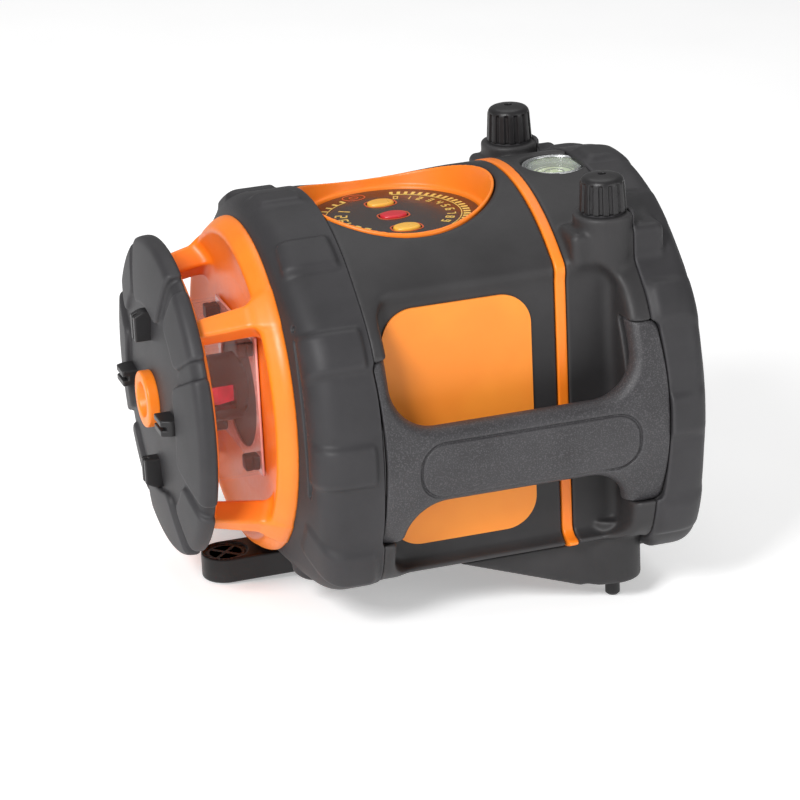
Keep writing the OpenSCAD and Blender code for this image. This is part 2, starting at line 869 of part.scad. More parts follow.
module pitch_screw() color(steel_color) tilt_screw();
module pitch_nut() color("ivory") tilt_nut();
module yaw_screw() color(steel_color) rotate([90, 0, 0]) tilt_screw();
module yaw_nut() color("ivory") rotate([90, 0, 0]) tilt_nut();

// ---------- electronics and power ----------

// Main circuit board with its larger components
module main_board() color("darkgreen") {
  difference() {
    span([-62, -38, 38], [-8, 38, 39.6]);
    for (x = [-58, -12], y = [-34, 34]) post_z(x, y, 37, 41, 1.6);
  }
  span([-50, -20, 39.5], [-36, -6, 42]);
  span([-30, 4, 39.5], [-18, 24, 47]);
  for (y = [14, 24]) post_z(-48, y, 39.5, 50, 4);
}

// Rechargeable cells in their tray
module battery_pack() color("royalblue") {
  span([-66, -bay_half_w + 2, bay_bottom + 2], [-60, bay_half_w - 2, bay_top - 2]);
  for (y = [-1.5, -0.5, 0.5, 1.5], z = [bay_bottom + 9, bay_top - 9])
    translate([0, y * 15.2, z]) rod_x(-61, -9.4, 7.2);
  difference() {
    span([-9.9, -bay_half_w + 2, bay_bottom + 1.5], [-7.2, bay_half_w - 2, bay_top - 2]);
    translate([0, 0, latch_z]) rod_x(-10, -7, 10);
  }
}

// Door over the battery bay, hinged along its top edge
module battery_door() color(housing_color)
  difference() {
    union() {
      span([-6, -bay_half_w + 0.5, bay_bottom + 0.5], [-3, bay_half_w - 0.5, bay_top - 0.4]);
      span([-5.4, -bay_half_w + 6, bay_top - 1], [-3.2, bay_half_w - 6, door_pivot_z]);
      translate([door_pivot_x, 0, door_pivot_z]) rotate([90, 0, 0])
        cylinder(h = 2 * bay_half_w - 12, r = 2.2, center = true);
    }
    translate([door_pivot_x, 0, door_pivot_z]) rotate([90, 0, 0])
      cylinder(h = 2 * bay_half_w, r = 1 + run, center = true);
    translate([0, 0, latch_z]) rod_x(-7, -2, 3 + run);
  }

// Quarter-turn latch of the battery door, shown released
module battery_latch() color([0.13, 0.13, 0.14])
  translate([0, 0, latch_z]) difference() {
    union() {
      rod_x(-2.9, -0.6, 6);
      rod_x(-7.4, -2.9, 3);
      span([-9, -9, -2.5], [-7.2, 4, 2.5]);
    }
    span([-1.6, -5, -0.8], [eps, 5, 0.8]);
  }

// Hinge pin of the battery door
module hinge_pin() color(steel_color)
  translate([door_pivot_x, 0, door_pivot_z]) rotate([90, 0, 0])
    cylinder(h = 2 * bay_half_w + 6, r = 1, center = true);

front_housing();
rear_housing();
trim_ring();
front_bumper();
rear_bumper();
base_plate();
tripod_insert();
left_handle();
right_handle();
handle_screws();
side_plates();
rotor_cage();
cage_screws();
head_cap();
cap_bezel();
sight_blades();
lantern_panes();
pane_pads();
lantern_bellows();
panel_bezel();
control_panel();
panel_board();
near_button();
power_button();
far_button();
front_foot();
beam_target();
vial_cup();
vial_lens();
vial_fluid();
gimbal_frame();
gimbal_ring();
laser_tube();
rotor_bearings();
laser_diode();
collimator_lens();
rotor_motor();
motor_pulley();
drive_belt();
rotor_head();
rotor_prism();
rotor_pulley();
tilt_motors();
pitch_screw();
pitch_nut();
yaw_screw();
yaw_nut();
main_board();
battery_pack();
battery_door();
battery_latch();
hinge_pin();
base_screws();
left_knob();
right_knob();
left_leadscrew();
right_leadscrew();
left_foot_pin();
right_foot_pin();
knob_seals();
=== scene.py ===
import json
import math

import bpy
import numpy as np
from mathutils import Matrix, Vector


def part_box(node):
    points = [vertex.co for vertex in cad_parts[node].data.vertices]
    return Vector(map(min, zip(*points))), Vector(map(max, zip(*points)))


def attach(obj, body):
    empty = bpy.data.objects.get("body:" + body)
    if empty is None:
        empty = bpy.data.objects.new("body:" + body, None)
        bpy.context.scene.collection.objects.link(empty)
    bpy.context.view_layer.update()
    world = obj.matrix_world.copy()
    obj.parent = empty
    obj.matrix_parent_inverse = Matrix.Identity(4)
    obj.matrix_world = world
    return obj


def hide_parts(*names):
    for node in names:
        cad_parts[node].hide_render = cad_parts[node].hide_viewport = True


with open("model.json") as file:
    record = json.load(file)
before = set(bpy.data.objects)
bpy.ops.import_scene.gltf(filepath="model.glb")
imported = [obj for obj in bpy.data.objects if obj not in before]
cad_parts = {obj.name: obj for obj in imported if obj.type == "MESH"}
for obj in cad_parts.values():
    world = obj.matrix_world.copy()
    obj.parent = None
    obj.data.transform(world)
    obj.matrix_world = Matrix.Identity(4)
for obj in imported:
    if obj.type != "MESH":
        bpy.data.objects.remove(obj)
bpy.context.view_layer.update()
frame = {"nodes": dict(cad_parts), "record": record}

MM = 0.001

# The outer pieces are signed distance forms, meshed here. The inner ones keep their CAD meshes.


# ------------------------ places, in millimetres, from the frame
def mm_box(node):
    """Low and high corners of a CAD node in millimetres."""
    low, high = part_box(node)
    return np.array(low) / MM, np.array(high) / MM


boot_low, boot_high = mm_box("front_bumper")
rear_boot_low = mm_box("rear_bumper")[0]
front_low, front_high = mm_box("front_housing")
rear_low = mm_box("rear_housing")[0]
trim_low, trim_high = mm_box("trim_ring")
cage_low, cage_high = mm_box("rotor_cage")
cap_low, cap_high = mm_box("head_cap")
handle_low, handle_high = mm_box("left_handle")
plate_high = mm_box("side_plates")[1]
panel_low, panel_high = mm_box("control_panel")
knob_low, knob_high = mm_box("left_knob")
pin_low = mm_box("left_foot_pin")[0]
cup_low, cup_high = mm_box("vial_cup")
lens_low, lens_high = mm_box("vial_lens")
fluid_low, fluid_high = mm_box("vial_fluid")
button_low, button_high = mm_box("power_button")
pads_low, pads_high = mm_box("pane_pads")
panes_low, panes_high = mm_box("lantern_panes")
blades_low = mm_box("sight_blades")[0]
foot_low, foot_high = mm_box("front_foot")
target_low, target_high = mm_box("beam_target")

SHOULDER_X = boot_low[0]  # the front boot's front
BAND_REAR = boot_high[0]  # the front boot's rear
HOUSING_FRONT = SHOULDER_X + 7
TRIM_FRONT, TRIM_REAR = trim_low[0], trim_high[0]
DRUM_TOP = front_high[2] + 1.5
DRUM_FLOOR = front_low[2]
DRUM_R = 88.0  # the drum's top is a flatter arc than its round sides
DRUM_Z = DRUM_TOP - DRUM_R
DRUM_SIDE = front_high[1] - 1  # half the width between its flat sides
ROOM = 88  # half the width of the space in which the drum's pieces are formed
WALL = 3.2
SEAM = 0.3  # from a shell's end to the trim ring's space
BAND_Z = -8.0  # the middle of the ring of pads
PAD_COUNT = 12
PAD_RISE = 2.2
PAD_HALF = 8.3
BOOT_FLOOR = boot_low[2] + PAD_RISE
REAR_BOOT_FLOOR = rear_boot_low[2] + PAD_RISE
REAR_BOOT_FRONT = rear_boot_low[0] - 5
BOOT_SKIN = 0.3  # how far a boot stands proud of the shell between its pads
TOWER_FLOOR = rear_low[2]
COLLAR_R, TOWER_R = 11.9, 11.5  # round the knobs and round the foot pins
JOURNAL_R, GUIDE_HALF, OUTLET_R = 2.3, 4.3, 3.3  # along the bore of a foot screw
FLAT_Y = plate_high[1] - 0.8
RECESS_X = (handle_low[0] + 8, handle_high[0] - 13)
RECESS_Z = (-62.0, 49.0)
HANDLE_R = 86.5
HANDLE_Z = -8.0
HANDLE_T = 11.5
SWELL_DROP = 2.4  # how far the swellings at a handle's ends stay below its surface
SWELL_Z = (-58, 44)
HANDLE_GAP = 0.35  # between a handle's ends and the pieces round them
PANEL_X = (panel_low[0] + panel_high[0]) / 2
PANEL_Z = panel_high[2]
PANEL_R = (panel_high[0] - panel_low[0]) / 2
LEFT_SCALE, RIGHT_SCALE = (118, 228), (74, -50)  # degrees from +X
SCALE_R = PANEL_R * 0.78
BUTTON_Y = (-17.0, 0.0, 17.0)
LEG_X = (knob_low[0] + knob_high[0]) / 2
LEG_Y = -(knob_low[1] + knob_high[1]) / 2
KNOB_R = (knob_high[0] - knob_low[0]) / 2
VIAL_X = (cup_low[0] + cup_high[0]) / 2
VIAL_R = (cup_high[0] - cup_low[0]) / 2
VIAL_TOP = cup_high[2]
CAP_R = cap_high[1]
CAP_BACK = cap_high[0]
CAP_FACE = cap_low[0]
FLANGE_R = 67.5
POST_ANGLES = (45, 135, 225, 315)
BLADE_ANGLES = (0, 90, 180, 270)
TOE_X = foot_low[0] + 10  # the middle of the front foot's round toe


# ------------------------ forms: signed distances in millimetres
def smax(a, b, k):
    """The greater of a and b, with the corner rounded over a width of about k."""
    h = np.maximum(k - np.abs(a - b), 0) / k
    return np.maximum(a, b) + h * h * k / 4


def smin(a, b, k):
    """The lesser of a and b, with the corner filled over a width of about k."""
    return -smax(-a, -b, k)


def cut(a, b, k=0.6):
    """Form a less form b, with a rounded rim."""
    return smax(a, -b, k)


def box(x, y, z, low, high, r=0.5):
    """A box with round edges of radius r."""
    parts = []
    for v, a, b in zip((x, y, z), low, high):
        parts.append(np.abs(v - (a + b) / 2) - (b - a) / 2 + r)
    outside = np.sqrt(sum(np.maximum(q, 0) ** 2 for q in parts))
    return outside + np.minimum(np.maximum(np.maximum(*parts[:2]), parts[2]), 0) - r


def plate(u, v, low, high, r):
    """An endless bar with a rectangular section and corners of radius r."""
    a = np.abs(u - (low[0] + high[0]) / 2) - (high[0] - low[0]) / 2 + r
    b = np.abs(v - (low[1] + high[1]) / 2) - (high[1] - low[1]) / 2 + r
    return np.hypot(np.maximum(a, 0), np.maximum(b, 0)) + np.minimum(np.maximum(a, b), 0) - r


def slab(w, low, high):
    """The space between two parallel planes."""
    return np.abs(w - (low + high) / 2) - (high - low) / 2


def rod(rho, w, radius, low, high, e=0.5):
    """A round rod, rho from its axis, from low to high along w, with edges of radius e."""
    a = rho - radius + e
    b = slab(w, low, high) + e
    return np.hypot(np.maximum(a, 0), np.maximum(b, 0)) + np.minimum(np.maximum(a, b), 0) - e


def cone(rho, w, w0, r0, w1, r1):
    """The inside of a cone that has radius r0 at w0 and r1 at w1."""
    slope = (r1 - r0) / (w1 - w0)
    return (rho - r0 - (w - w0) * slope) / math.hypot(1, slope)


def turned(y, z, degrees):
    """y and z turned about the rotor axis, so that the given direction becomes +Z."""
    a = math.radians(degrees)
    return y * math.cos(a) + z * math.sin(a), z * math.cos(a) - y * math.sin(a)


def soft_step(v, low, high):
    """0 below low, 1 above high, smooth between."""
    t = np.clip((v - low) / (high - low), 0, 1)
    return t * t * (3 - 2 * t)


# ------------------------ meshes from forms
BLOCK = 8


def sample(form, low, high, step):
    """The form's values on a grid, exact near its surface only."""
    low = np.array(low, float) - 2 * step
    count = np.ceil((np.array(high, float) + 2 * step - low) / step / BLOCK).astype(int) + 1
    corner = low + np.indices(count).reshape(3, -1).T * BLOCK * step
    middle = form(*(corner + (BLOCK - 1) * step / 2).T)
    field = np.empty((*count, BLOCK, BLOCK, BLOCK), np.float32)
    field[...] = (np.sign(middle) * 99).reshape(*count, 1, 1, 1)
    near = np.nonzero(np.abs(middle) < BLOCK * step)[0]
    inner = np.indices((BLOCK,) * 3).reshape(3, -1).T * step
    where = np.unravel_index(near, count)
    values = np.empty((len(near), BLOCK ** 3), np.float32)
    for start in range(0, len(near), 2000):
        part = (corner[near[start:start + 2000], None] + inner[None]).reshape(-1, 3)
        values[start:start + 2000] = form(*part.T).reshape(-1, BLOCK ** 3)
    field[where] = values.reshape(-1, BLOCK, BLOCK, BLOCK)
    return field.transpose(0, 3, 1, 4, 2, 5).reshape(count * BLOCK), low


def nets(form, low, high, step):
    """Vertices and quads of the form's surface: one vertex in each grid cell that the surface crosses."""
    field, low = sample(form, low, high, step)
    inside = field < 0
    corners = [(i, j, k) for i in (0, 1) for j in (0, 1) for k in (0, 1)]
    size = np.array(field.shape) - 1
    total = np.zeros(size, np.int8)
    for c in corners:
        total += inside[c[0]:c[0] + size[0], c[1]:c[1] + size[1], c[2]:c[2] + size[2]]
    cells = np.array(np.nonzero((total > 0) & (total < 8)))
    number = np.full(size, -1, np.int32)
    number[tuple(cells)] = np.arange(cells.shape[1])
    value = [field[tuple(cells + np.array(c)[:, None])] for c in corners]
    points, hits = np.zeros((cells.shape[1], 3)), np.zeros(cells.shape[1])
    for a in range(8):
        for b in range(a + 1, 8):
            if sum(p != q for p, q in zip(corners[a], corners[b])) != 1:
                continue
            cross = (value[a] < 0) != (value[b] < 0)
            t = np.where(cross, value[a] / np.where(cross, value[a] - value[b], 1), 0)
            for axis in range(3):
                place = corners[a][axis] + (corners[b][axis] - corners[a][axis]) * t
                points[:, axis] += np.where(cross, place, 0)
            hits += cross
    points = low + (cells.T + points / hits[:, None]) * step
    quads = []
    for axis in range(3):
        lead = np.roll(np.arange(3), -axis)
        ahead = np.moveaxis(inside, lead, (0, 1, 2))
        cell = np.moveaxis(number, lead, (0, 1, 2))
        first, second = ahead[:-1, 1:-1, 1:-1], ahead[1:, 1:-1, 1:-1]
        i, j, k = np.nonzero(first != second)
        ring = [cell[i, j, k], cell[i, j + 1, k], cell[i, j + 1, k + 1], cell[i, j, k + 1]]
        quad = np.stack(ring, 1)
        flip = ~first[i, j, k]
        quad[flip] = quad[flip][:, ::-1]
        quads.append(quad)
    return settle(form, points, step), np.concatenate(quads)


def settle(form, points, step):
    """Moves points the last fraction of a cell onto the surface."""
    h = step * 0.05
    for _ in range(2):
        d = form(*points.T)
        slope = []
        for axis in range(3):
            moved = points.copy()
            moved[:, axis] += h
            slope.append((form(*moved.T) - d) / h)
        slope = np.stack(slope, 1)
        move = (d / np.maximum((slope ** 2).sum(1), 0.3))[:, None] * slope
        points = points - np.clip(move, -0.5 * step, 0.5 * step)
    return points


def add_object(name, data):
    """A new object in the scene."""
    new = bpy.data.objects.new(name, data)
    bpy.context.scene.collection.objects.link(new)
    return new


def mirrored(source, name):
    """A copy of a piece for the other side of the body."""
    mesh = source.data.copy()
    mesh.transform(Matrix.Scale(-1, 4, (0, 1, 0)))
    mesh.flip_normals()
    return add_object(name, mesh)


def mesh_object(name, points, faces, smooth=True):
    """A mesh object from points in millimetres and an array of equal-sided faces."""
    mesh = bpy.data.meshes.new(name)
    faces = np.asarray(faces)
    count, sides = faces.shape
    mesh.vertices.add(len(points))
    mesh.vertices.foreach_set("co", (np.asarray(points) * MM).astype(np.float32).ravel())
    mesh.loops.add(count * sides)
    mesh.loops.foreach_set("vertex_index", faces.astype(np.int32).ravel())
    mesh.polygons.add(count)
    mesh.polygons.foreach_set("loop_start", np.arange(0, count * sides, sides, dtype=np.int32))
    mesh.polygons.foreach_set("use_smooth", np.full(count, smooth))
    mesh.update(calc_edges=True)
    mesh.validate()
    return add_object(name, mesh)


def form_piece(name, form, low, high, step, most=190000):
    """A piece whose surface is a form, thinned to at most the given number of triangles."""
    points, quads = nets(form, low, high, step)
    piece = mesh_object(name, points, quads)
    if len(quads) * 2 > most:
        thin = piece.modifiers.new("thin", "DECIMATE")
        thin.ratio = most / (len(quads) * 2)
        depsgraph = bpy.context.evaluated_depsgraph_get()
        mesh = bpy.data.meshes.new_from_object(piece.evaluated_get(depsgraph))
        piece.modifiers.clear()
        piece.data = mesh
        mesh.polygons.foreach_set("use_smooth", np.full(len(mesh.polygons), True))
    return piece


# ------------------------ materials
def srgb(r, g, b):
    """A colour given in screen values from 0 to 255, as linear values."""
    out = []
    for v in (r, g, b):
        v = v / 255
        out.append(v / 12.92 if v <= 0.04045 else ((v + 0.055) / 1.055) ** 2.4)
    return (*out, 1.0)


def shade(colour, gain, lift=0.0):
    """A colour made darker or paler, at full opacity."""
    return tuple(min(1, c * gain + lift) for c in colour[:3]) + (1,)


class Shader:
    """A material's nodes, with short calls for the ones used here."""

    def __init__(self, name):
        self.material = bpy.data.materials.new(name)
        self.material.use_nodes = True
        self.tree = self.material.node_tree
        self.main = self.tree.nodes["Principled BSDF"]
        place = self.tree.nodes.new("ShaderNodeTexCoord")
        scale = self.tree.nodes.new("ShaderNodeVectorMath")
        scale.operation = "SCALE"
        scale.inputs["Scale"].default_value = 1000
        self.tree.links.new(place.outputs["Object"], scale.inputs[0])
        self.place = scale.outputs[0]

    def link(self, a, b):
        """Joins an output to an input."""
        self.tree.links.new(a, b)

    def feed(self, socket, value):
        """Gives an input a number, a colour or an output."""
        if isinstance(value, (int, float, tuple)):
            socket.default_value = value
        else:
            self.link(value, socket)

    def noise(self, scale, detail=2.0, rough=0.5):
        """Noise with the given number of cells per millimetre."""
        node = self.tree.nodes.new("ShaderNodeTexNoise")
        node.inputs["Scale"].default_value = scale
        node.inputs["Detail"].default_value = detail
        node.inputs["Roughness"].default_value = rough
        self.link(self.place, node.inputs["Vector"])
        return node.outputs["Fac"]

    def cells(self, scale):
        """Distance from the nearest of scattered points, scale of them per millimetre."""
        node = self.tree.nodes.new("ShaderNodeTexVoronoi")
        node.inputs["Scale"].default_value = scale
        self.link(self.place, node.inputs["Vector"])
        return node.outputs["Distance"]

    def ramp(self, value, stops):
        """Colours or greys between stops of (position, colour)."""
        node = self.tree.nodes.new("ShaderNodeValToRGB")
        bar = node.color_ramp
        while len(bar.elements) < len(stops):
            bar.elements.new(0.5)
        for element, (place, colour) in zip(bar.elements, stops):
            element.position = place
            element.color = colour if isinstance(colour, tuple) else (colour, colour, colour, 1)
        self.link(value, node.inputs["Fac"])
        return node.outputs["Color"]

    def math(self, op, a, b=0.0):
        """One step of arithmetic on numbers or outputs."""
        node = self.tree.nodes.new("ShaderNodeMath")
        node.operation = op
        self.feed(node.inputs[0], a)
        self.feed(node.inputs[1], b)
        return node.outputs[0]

    def mix(self, fac, a, b):
        """Colour a, turning into b as fac goes from 0 to 1."""
        node = self.tree.nodes.new("ShaderNodeMix")
        node.data_type = "RGBA"
        self.feed(node.inputs["Factor"], fac)
        self.feed(node.inputs[6], a)
        self.feed(node.inputs[7], b)
        return node.outputs[2]

    def edges(self):
        """Near 1 on sharp convex edges, where a highlight is painted; near 0 elsewhere."""
        node = self.tree.nodes.new("ShaderNodeNewGeometry")
        return self.ramp(node.outputs["Pointiness"], [(0.505, 0.0), (0.56, 1.0)])

    def bump(self, height, distance, strength=1.0):
        """Adds surface relief of the given depth in millimetres."""
        node = self.tree.nodes.new("ShaderNodeBump")
        node.inputs["Distance"].default_value = distance * MM
        node.inputs["Strength"].default_value = strength
        self.link(height, node.inputs["Height"])
        previous = self.main.inputs["Normal"].links
        if previous:
            self.link(previous[0].from_socket, node.inputs["Normal"])
        self.link(node.outputs["Normal"], self.main.inputs["Normal"])

    def separate(self):
        """The place in millimetres, as three outputs."""
        node = self.tree.nodes.new("ShaderNodeSeparateXYZ")
        self.link(self.place, node.inputs[0])
        return node.outputs

    def set(self, **values):
        """Sets or links inputs of the main shader by name."""
        for key, value in values.items():
            self.feed(self.main.inputs[key.replace("_", " ")], value)
        return self


def grained(name, colour, roughness, grain=2.2, depth=0.05, speckle=0.0, edge_highlight=0.25):
    """Moulded plastic or rubber with a fine spark-eroded grain, and a painted highlight that makes its
    edges paler.
    """
    s = Shader(name)
    fine = s.noise(grain, 3, 0.6)
    cloud = s.noise(0.035, 4, 0.6)
    base = s.mix(s.ramp(cloud, [(0.3, 0.0), (0.7, 1.0)]), shade(colour, 0.80), shade(colour, 1.18))
    if speckle:
        dots = s.ramp(s.noise(grain * 0.8, 1, 0.5), [(0.52, 0.0), (0.66, speckle)])
        base = s.mix(dots, base, shade(colour, 3.2, 0.03))
    # painted highlight: sharp convex edges mixed towards a much paler colour, by the given strength
    base = s.mix(s.math("MULTIPLY", s.edges(), edge_highlight), base, shade(colour, 2.2, 0.02))
    rough = s.math("ADD", s.math("MULTIPLY", s.math("SUBTRACT", fine, 0.5), 0.25), roughness)
    s.bump(fine, depth)
    s.bump(s.noise(0.12, 2), 0.06, 0.5)
    return s.set(Base_Color=base, Roughness=rough, Specular_IOR_Level=0.35).material


def satin(name, colour, roughness=0.34):
    """Smooth coloured plastic with faint orange peel and slow colour drift."""
    s = Shader(name)
    deep = tuple(c * d for c, d in zip(colour[:3], (0.94, 0.86, 0.8))) + (1,)
    base = s.mix(s.ramp(s.noise(0.03, 3), [(0.35, 0.0), (0.65, 1.0)]), deep, colour)
    rough = s.math("ADD", s.math("MULTIPLY", s.noise(0.4, 3), 0.16), roughness - 0.08)
    s.bump(s.noise(0.7, 2), 0.012)
    s.set(Base_Color=base, Roughness=rough, Subsurface_Weight=0.08, Subsurface_Scale=0.002)
    s.main.inputs["Subsurface Radius"].default_value = (1.0, 0.35, 0.1)
    return s.material


def metal(name, colour, roughness=0.3):
    """Machined metal with fine turning marks."""
    s = Shader(name)
    fine = s.noise(1.5, 3)
    base = s.mix(s.ramp(fine, [(0.3, 0.0), (0.8, 0.4)]), colour, shade(colour, 0.6))
    rough = s.math("ADD", s.math("MULTIPLY", s.noise(0.8, 4), 0.2), roughness - 0.1)
    s.bump(s.noise(3, 2), 0.01)
    return s.set(Base_Color=base, Metallic=1.0, Roughness=rough).material


def clear(name, tint, alpha, roughness=0.03):
    """Clear glass or plastic, drawn as a thin reflecting film over what is behind it."""
    s = Shader(name)
    smear = s.noise(0.25, 3)
    base = s.mix(s.ramp(smear, [(0.4, 0.0), (0.7, 0.5)]), tint, shade(tint, 1.05))
    rough = s.math("ADD", s.math("MULTIPLY", smear, 0.04), roughness)
    return s.set(Base_Color=base, Roughness=rough, IOR=1.5, Alpha=alpha).material


def board(name):
    """Green circuit board with paler tracks and tinned pads."""
    s = Shader(name)
    x = s.separate()[0]
    tracks = s.math("GREATER_THAN", s.math("FRACT", s.math("MULTIPLY", x, 0.4)), 0.7)
    pads = s.ramp(s.cells(0.35), [(0.10, 1.0), (0.14, 0.0)])
    base = s.mix(s.math("MULTIPLY", tracks, 0.5), (0.01, 0.11, 0.03, 1), (0.03, 0.24, 0.08, 1))
    base = s.mix(pads, base, (0.6, 0.58, 0.5, 1))
    return s.set(Base_Color=base, Roughness=0.35, Metallic=s.math("MULTIPLY", pads, 0.8)).material


def glow(name, colour, strength):
    """A surface lit from within by the laser, brightest in soft patches."""
    s = Shader(name)
    patches = s.ramp(s.noise(0.25, 2), [(0.35, 0.3), (0.65, 1.0)])
    s.set(Base_Color=colour, Roughness=0.3, Emission_Color=colour)
    s.set(Emission_Strength=s.math("MULTIPLY", patches, strength))
    return s.material


LOOKS = {  # how each material is made, and its values
    "housing_plastic": (grained, srgb(46, 45, 46), 0.52, 2.2, 0.03),
    "handle_plastic": (grained, srgb(54, 53, 55), 0.42, 2.4, 0.12, 0.3, 0.2),
    "soft_rubber": (grained, srgb(48, 47, 49), 0.55, 2.6, 0.025),
    "orange_plastic": (satin, srgb(252, 134, 30), 0.40),
    "orange_plate": (satin, srgb(250, 148, 46), 0.5),
    "black_plastic": (grained, srgb(34, 33, 34), 0.38, 1.6, 0.03),
    "steel": (metal, (0.55, 0.55, 0.57, 1)),
    "clear_glass": (clear, (0.96, 0.86, 0.87, 1), 0.07),
    "tinted_base": (satin, srgb(246, 196, 190), 0.25),
    "clear_lens": (clear, (0.92, 0.96, 0.95, 1), 0.16),
    "vial_metal": (metal, (0.72, 0.74, 0.74, 1), 0.25),
    "vial_liquid": (satin, (0.50, 0.60, 0.30, 1), 0.12),
    "panel_black": (satin, srgb(52, 44, 42), 0.2),
    "circuit_board": (board,),
    "yellow_button": (satin, srgb(242, 186, 70), 0.3),
    "red_button": (satin, srgb(205, 40, 56), 0.3),
    "aluminium": (metal, (0.58, 0.6, 0.62, 1), 0.4),
    "brass": (metal, (0.78, 0.58, 0.26, 1), 0.3),
    "white_plastic": (satin, (0.8, 0.79, 0.75, 1), 0.4),
    "battery_wrap": (satin, (0.03, 0.12, 0.42, 1), 0.3),
    "scale_ink": (satin, srgb(240, 205, 110), 0.4),
    "outline_ink": (satin, srgb(205, 88, 44), 0.4),
    "circle_ink": (grained, srgb(40, 42, 36), 0.4, 1.5, 0.01),
    "laser_glow": (glow, (0.8, 0.02, 0.06, 1), 0.5),
    "dark_seal": (grained, srgb(26, 20, 23), 0.5, 1.2, 0.05),
}
materials = {name: make(name, *values) for name, (make, *values) in LOOKS.items()}
special = {"rotor_prism": "laser_glow", "lantern_bellows": "dark_seal", "rotor_head": "dark_seal"}
slots = {entry["node"]: entry["material_slot"] for entry in frame["record"]["subparts"]}


def dress(piece, slot):
    """Gives a piece its material and its slot."""
    piece.data.materials.clear()
    piece.data.materials.append(materials[slot])
    return piece


def stand_for(piece, node, body="chassis"):
    """Dresses a piece as a CAD node, rides it on a body and hides the node."""
    dress(piece, slots[node])
    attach(piece, body)
    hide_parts(node)
    return piece


def dress_frame():
    """Gives every CAD node its material."""
    for name, node in frame["nodes"].items():
        if not node.material_slots:
            node.data.materials.append(None)
        for slot in node.material_slots:
            slot.material = materials[special.get(name, slots[name])]


def replace_node(node, name, form, step, spare=1, body="chassis"):
    """A form's piece in the room of a CAD node, widened by spare millimetres, in place of the node."""
    low, high = mm_box(node)
    return stand_for(form_piece(name, form, low - spare, high + spare, step), node, body)


# ------------------------ the drum
def drum(x, y, z):
    """The drum without its pads: flat below, round above, deeper below at both ends."""
    d = smax(np.hypot(y, z - DRUM_Z) - DRUM_R, np.abs(y) - DRUM_SIDE, 8)
    front = 1 - soft_step(x, BAND_REAR - 4, BAND_REAR + 3)
    rear = soft_step(x, rear_boot_low[0] - 7, rear_boot_low[0])
    floor = DRUM_FLOOR + front * (BOOT_FLOOR - DRUM_FLOOR) + rear * (REAR_BOOT_FLOOR - DRUM_FLOOR)
    return smax(d, floor - z, 12)


def skin(x, y, z):
    """The drum with the low swellings that meet the handles' ends."""
    rho = np.hypot(y, z - HANDLE_Z)
    ends = np.minimum(slab(x, SHOULDER_X - 9, RECESS_X[0] + 1), slab(x, RECESS_X[1] - 1, 9))
    swell = smax(smax(rho - HANDLE_R + SWELL_DROP, ends, 4), slab(z, *SWELL_Z), 16)
    return smin(drum(x, y, z), swell, 12)


def pad_side(y, z):
    """Distance beyond the side of the nearest of a boot's pads."""
    angle = np.arctan2(y, z - BAND_Z)
    half_pitch = math.pi / PAD_COUNT
    spare = (angle + half_pitch) % (2 * half_pitch) - half_pitch
    return np.abs(np.hypot(y, z - BAND_Z) * np.sin(spare)) - PAD_HALF


def recess(x, y, z, grow=0.0):
    """The hand space behind a handle, on both sides."""
    low = (RECESS_X[0] - grow, RECESS_Z[0] - grow)
    high = (RECESS_X[1] + grow, RECESS_Z[1] + grow)
    outline = plate(x, z, low, high, 9 + grow)
    return smax(outline, FLAT_Y - grow - np.abs(y), 5)


def handle_block(x, y, z, grow=0.0):
    """The curved block that a handle fills, on both sides."""
    rho = np.hypot(y, z - HANDLE_Z)
    shell = slab(rho, HANDLE_R - HANDLE_T - grow, HANDLE_R + 3)
    bow = 4.5 * (1 - ((z - HANDLE_Z) / 40) ** 2)
    ends = slab(x - np.clip(bow, -2, 5) * 0.5, handle_low[0] - grow + 1, handle_high[0] + grow - 2)
    return smax(smax(shell, ends, 1), slab(z, handle_low[2] - grow, handle_high[2] + grow), 4)


def from_leg(x, y):
    """Places relative to the axis of the foot screw on the same side."""
    return x - LEG_X, np.abs(y) - LEG_Y


def collars(x, y, z):
    """Round collars of the knobs and the ridges behind them."""
    u, v = from_leg(x, y)
    collar = rod(np.hypot(u, v), z, COLLAR_R, 42, 68.5, 1.0)
    ridge = box(u, v, z, (-16, -8.5, 40), (22, 8.5, 63), 3.0)
    return smin(collar, ridge, 1.6)


def towers(x, y, z):
    """Towers of both foot pins and the gussets that run forward from them."""
    u, v = from_leg(x, y)
    tower = rod(np.hypot(u, v), z, TOWER_R, TOWER_FLOOR, DRUM_FLOOR + 8, 1.2)
    tip, fall = -100, 0.361  # where the gusset's lower edge starts, and its slope
    edge = np.maximum(DRUM_FLOOR + 0.3 - fall * (x - tip), TOWER_FLOOR)
    gusset = box(u, v, z, (-72, -7, -95), (2, 7, DRUM_FLOOR + 2), 1.0)
    d = smin(tower, smax(gusset, (edge - z) * 0.94, 1.5), 4)
    return smax(d, np.minimum(TRIM_REAR + 1 - x, z - DRUM_FLOOR + 0.4), 0.4)


def body(x, y, z):
    """The whole outer form of both housings above the towers."""
    d = smin(skin(x, y, z), collars(x, y, z), 2.4)
    d = cut(d, recess(x, y, z), 4.5)
    return cut(d, handle_block(x, y, z, HANDLE_GAP), 0.8)


def cavity(x, y, z):
    """The space inside the shells."""
    d = smax(drum(x, y, z) + WALL, -recess(x, y, z, WALL), 1)
    d = smax(d, -handle_block(x, y, z, WALL), 1)
    u, v = from_leg(x, y)
    guide = box(u, v, z, (-6, -6, -70), (6, 6, -42), 0.5)
    seat = rod(np.hypot(x - VIAL_X, y), z, VIAL_R + 2.5, VIAL_TOP - 14, VIAL_TOP + 9, 0.5)
    well = rod(np.hypot(x - PANEL_X, y), z, PANEL_R + 7, PANEL_Z - 8, PANEL_Z + 30, 0.5)
    return smax(smax(smax(d, -guide, 1), -seat, 1), -well, 1)


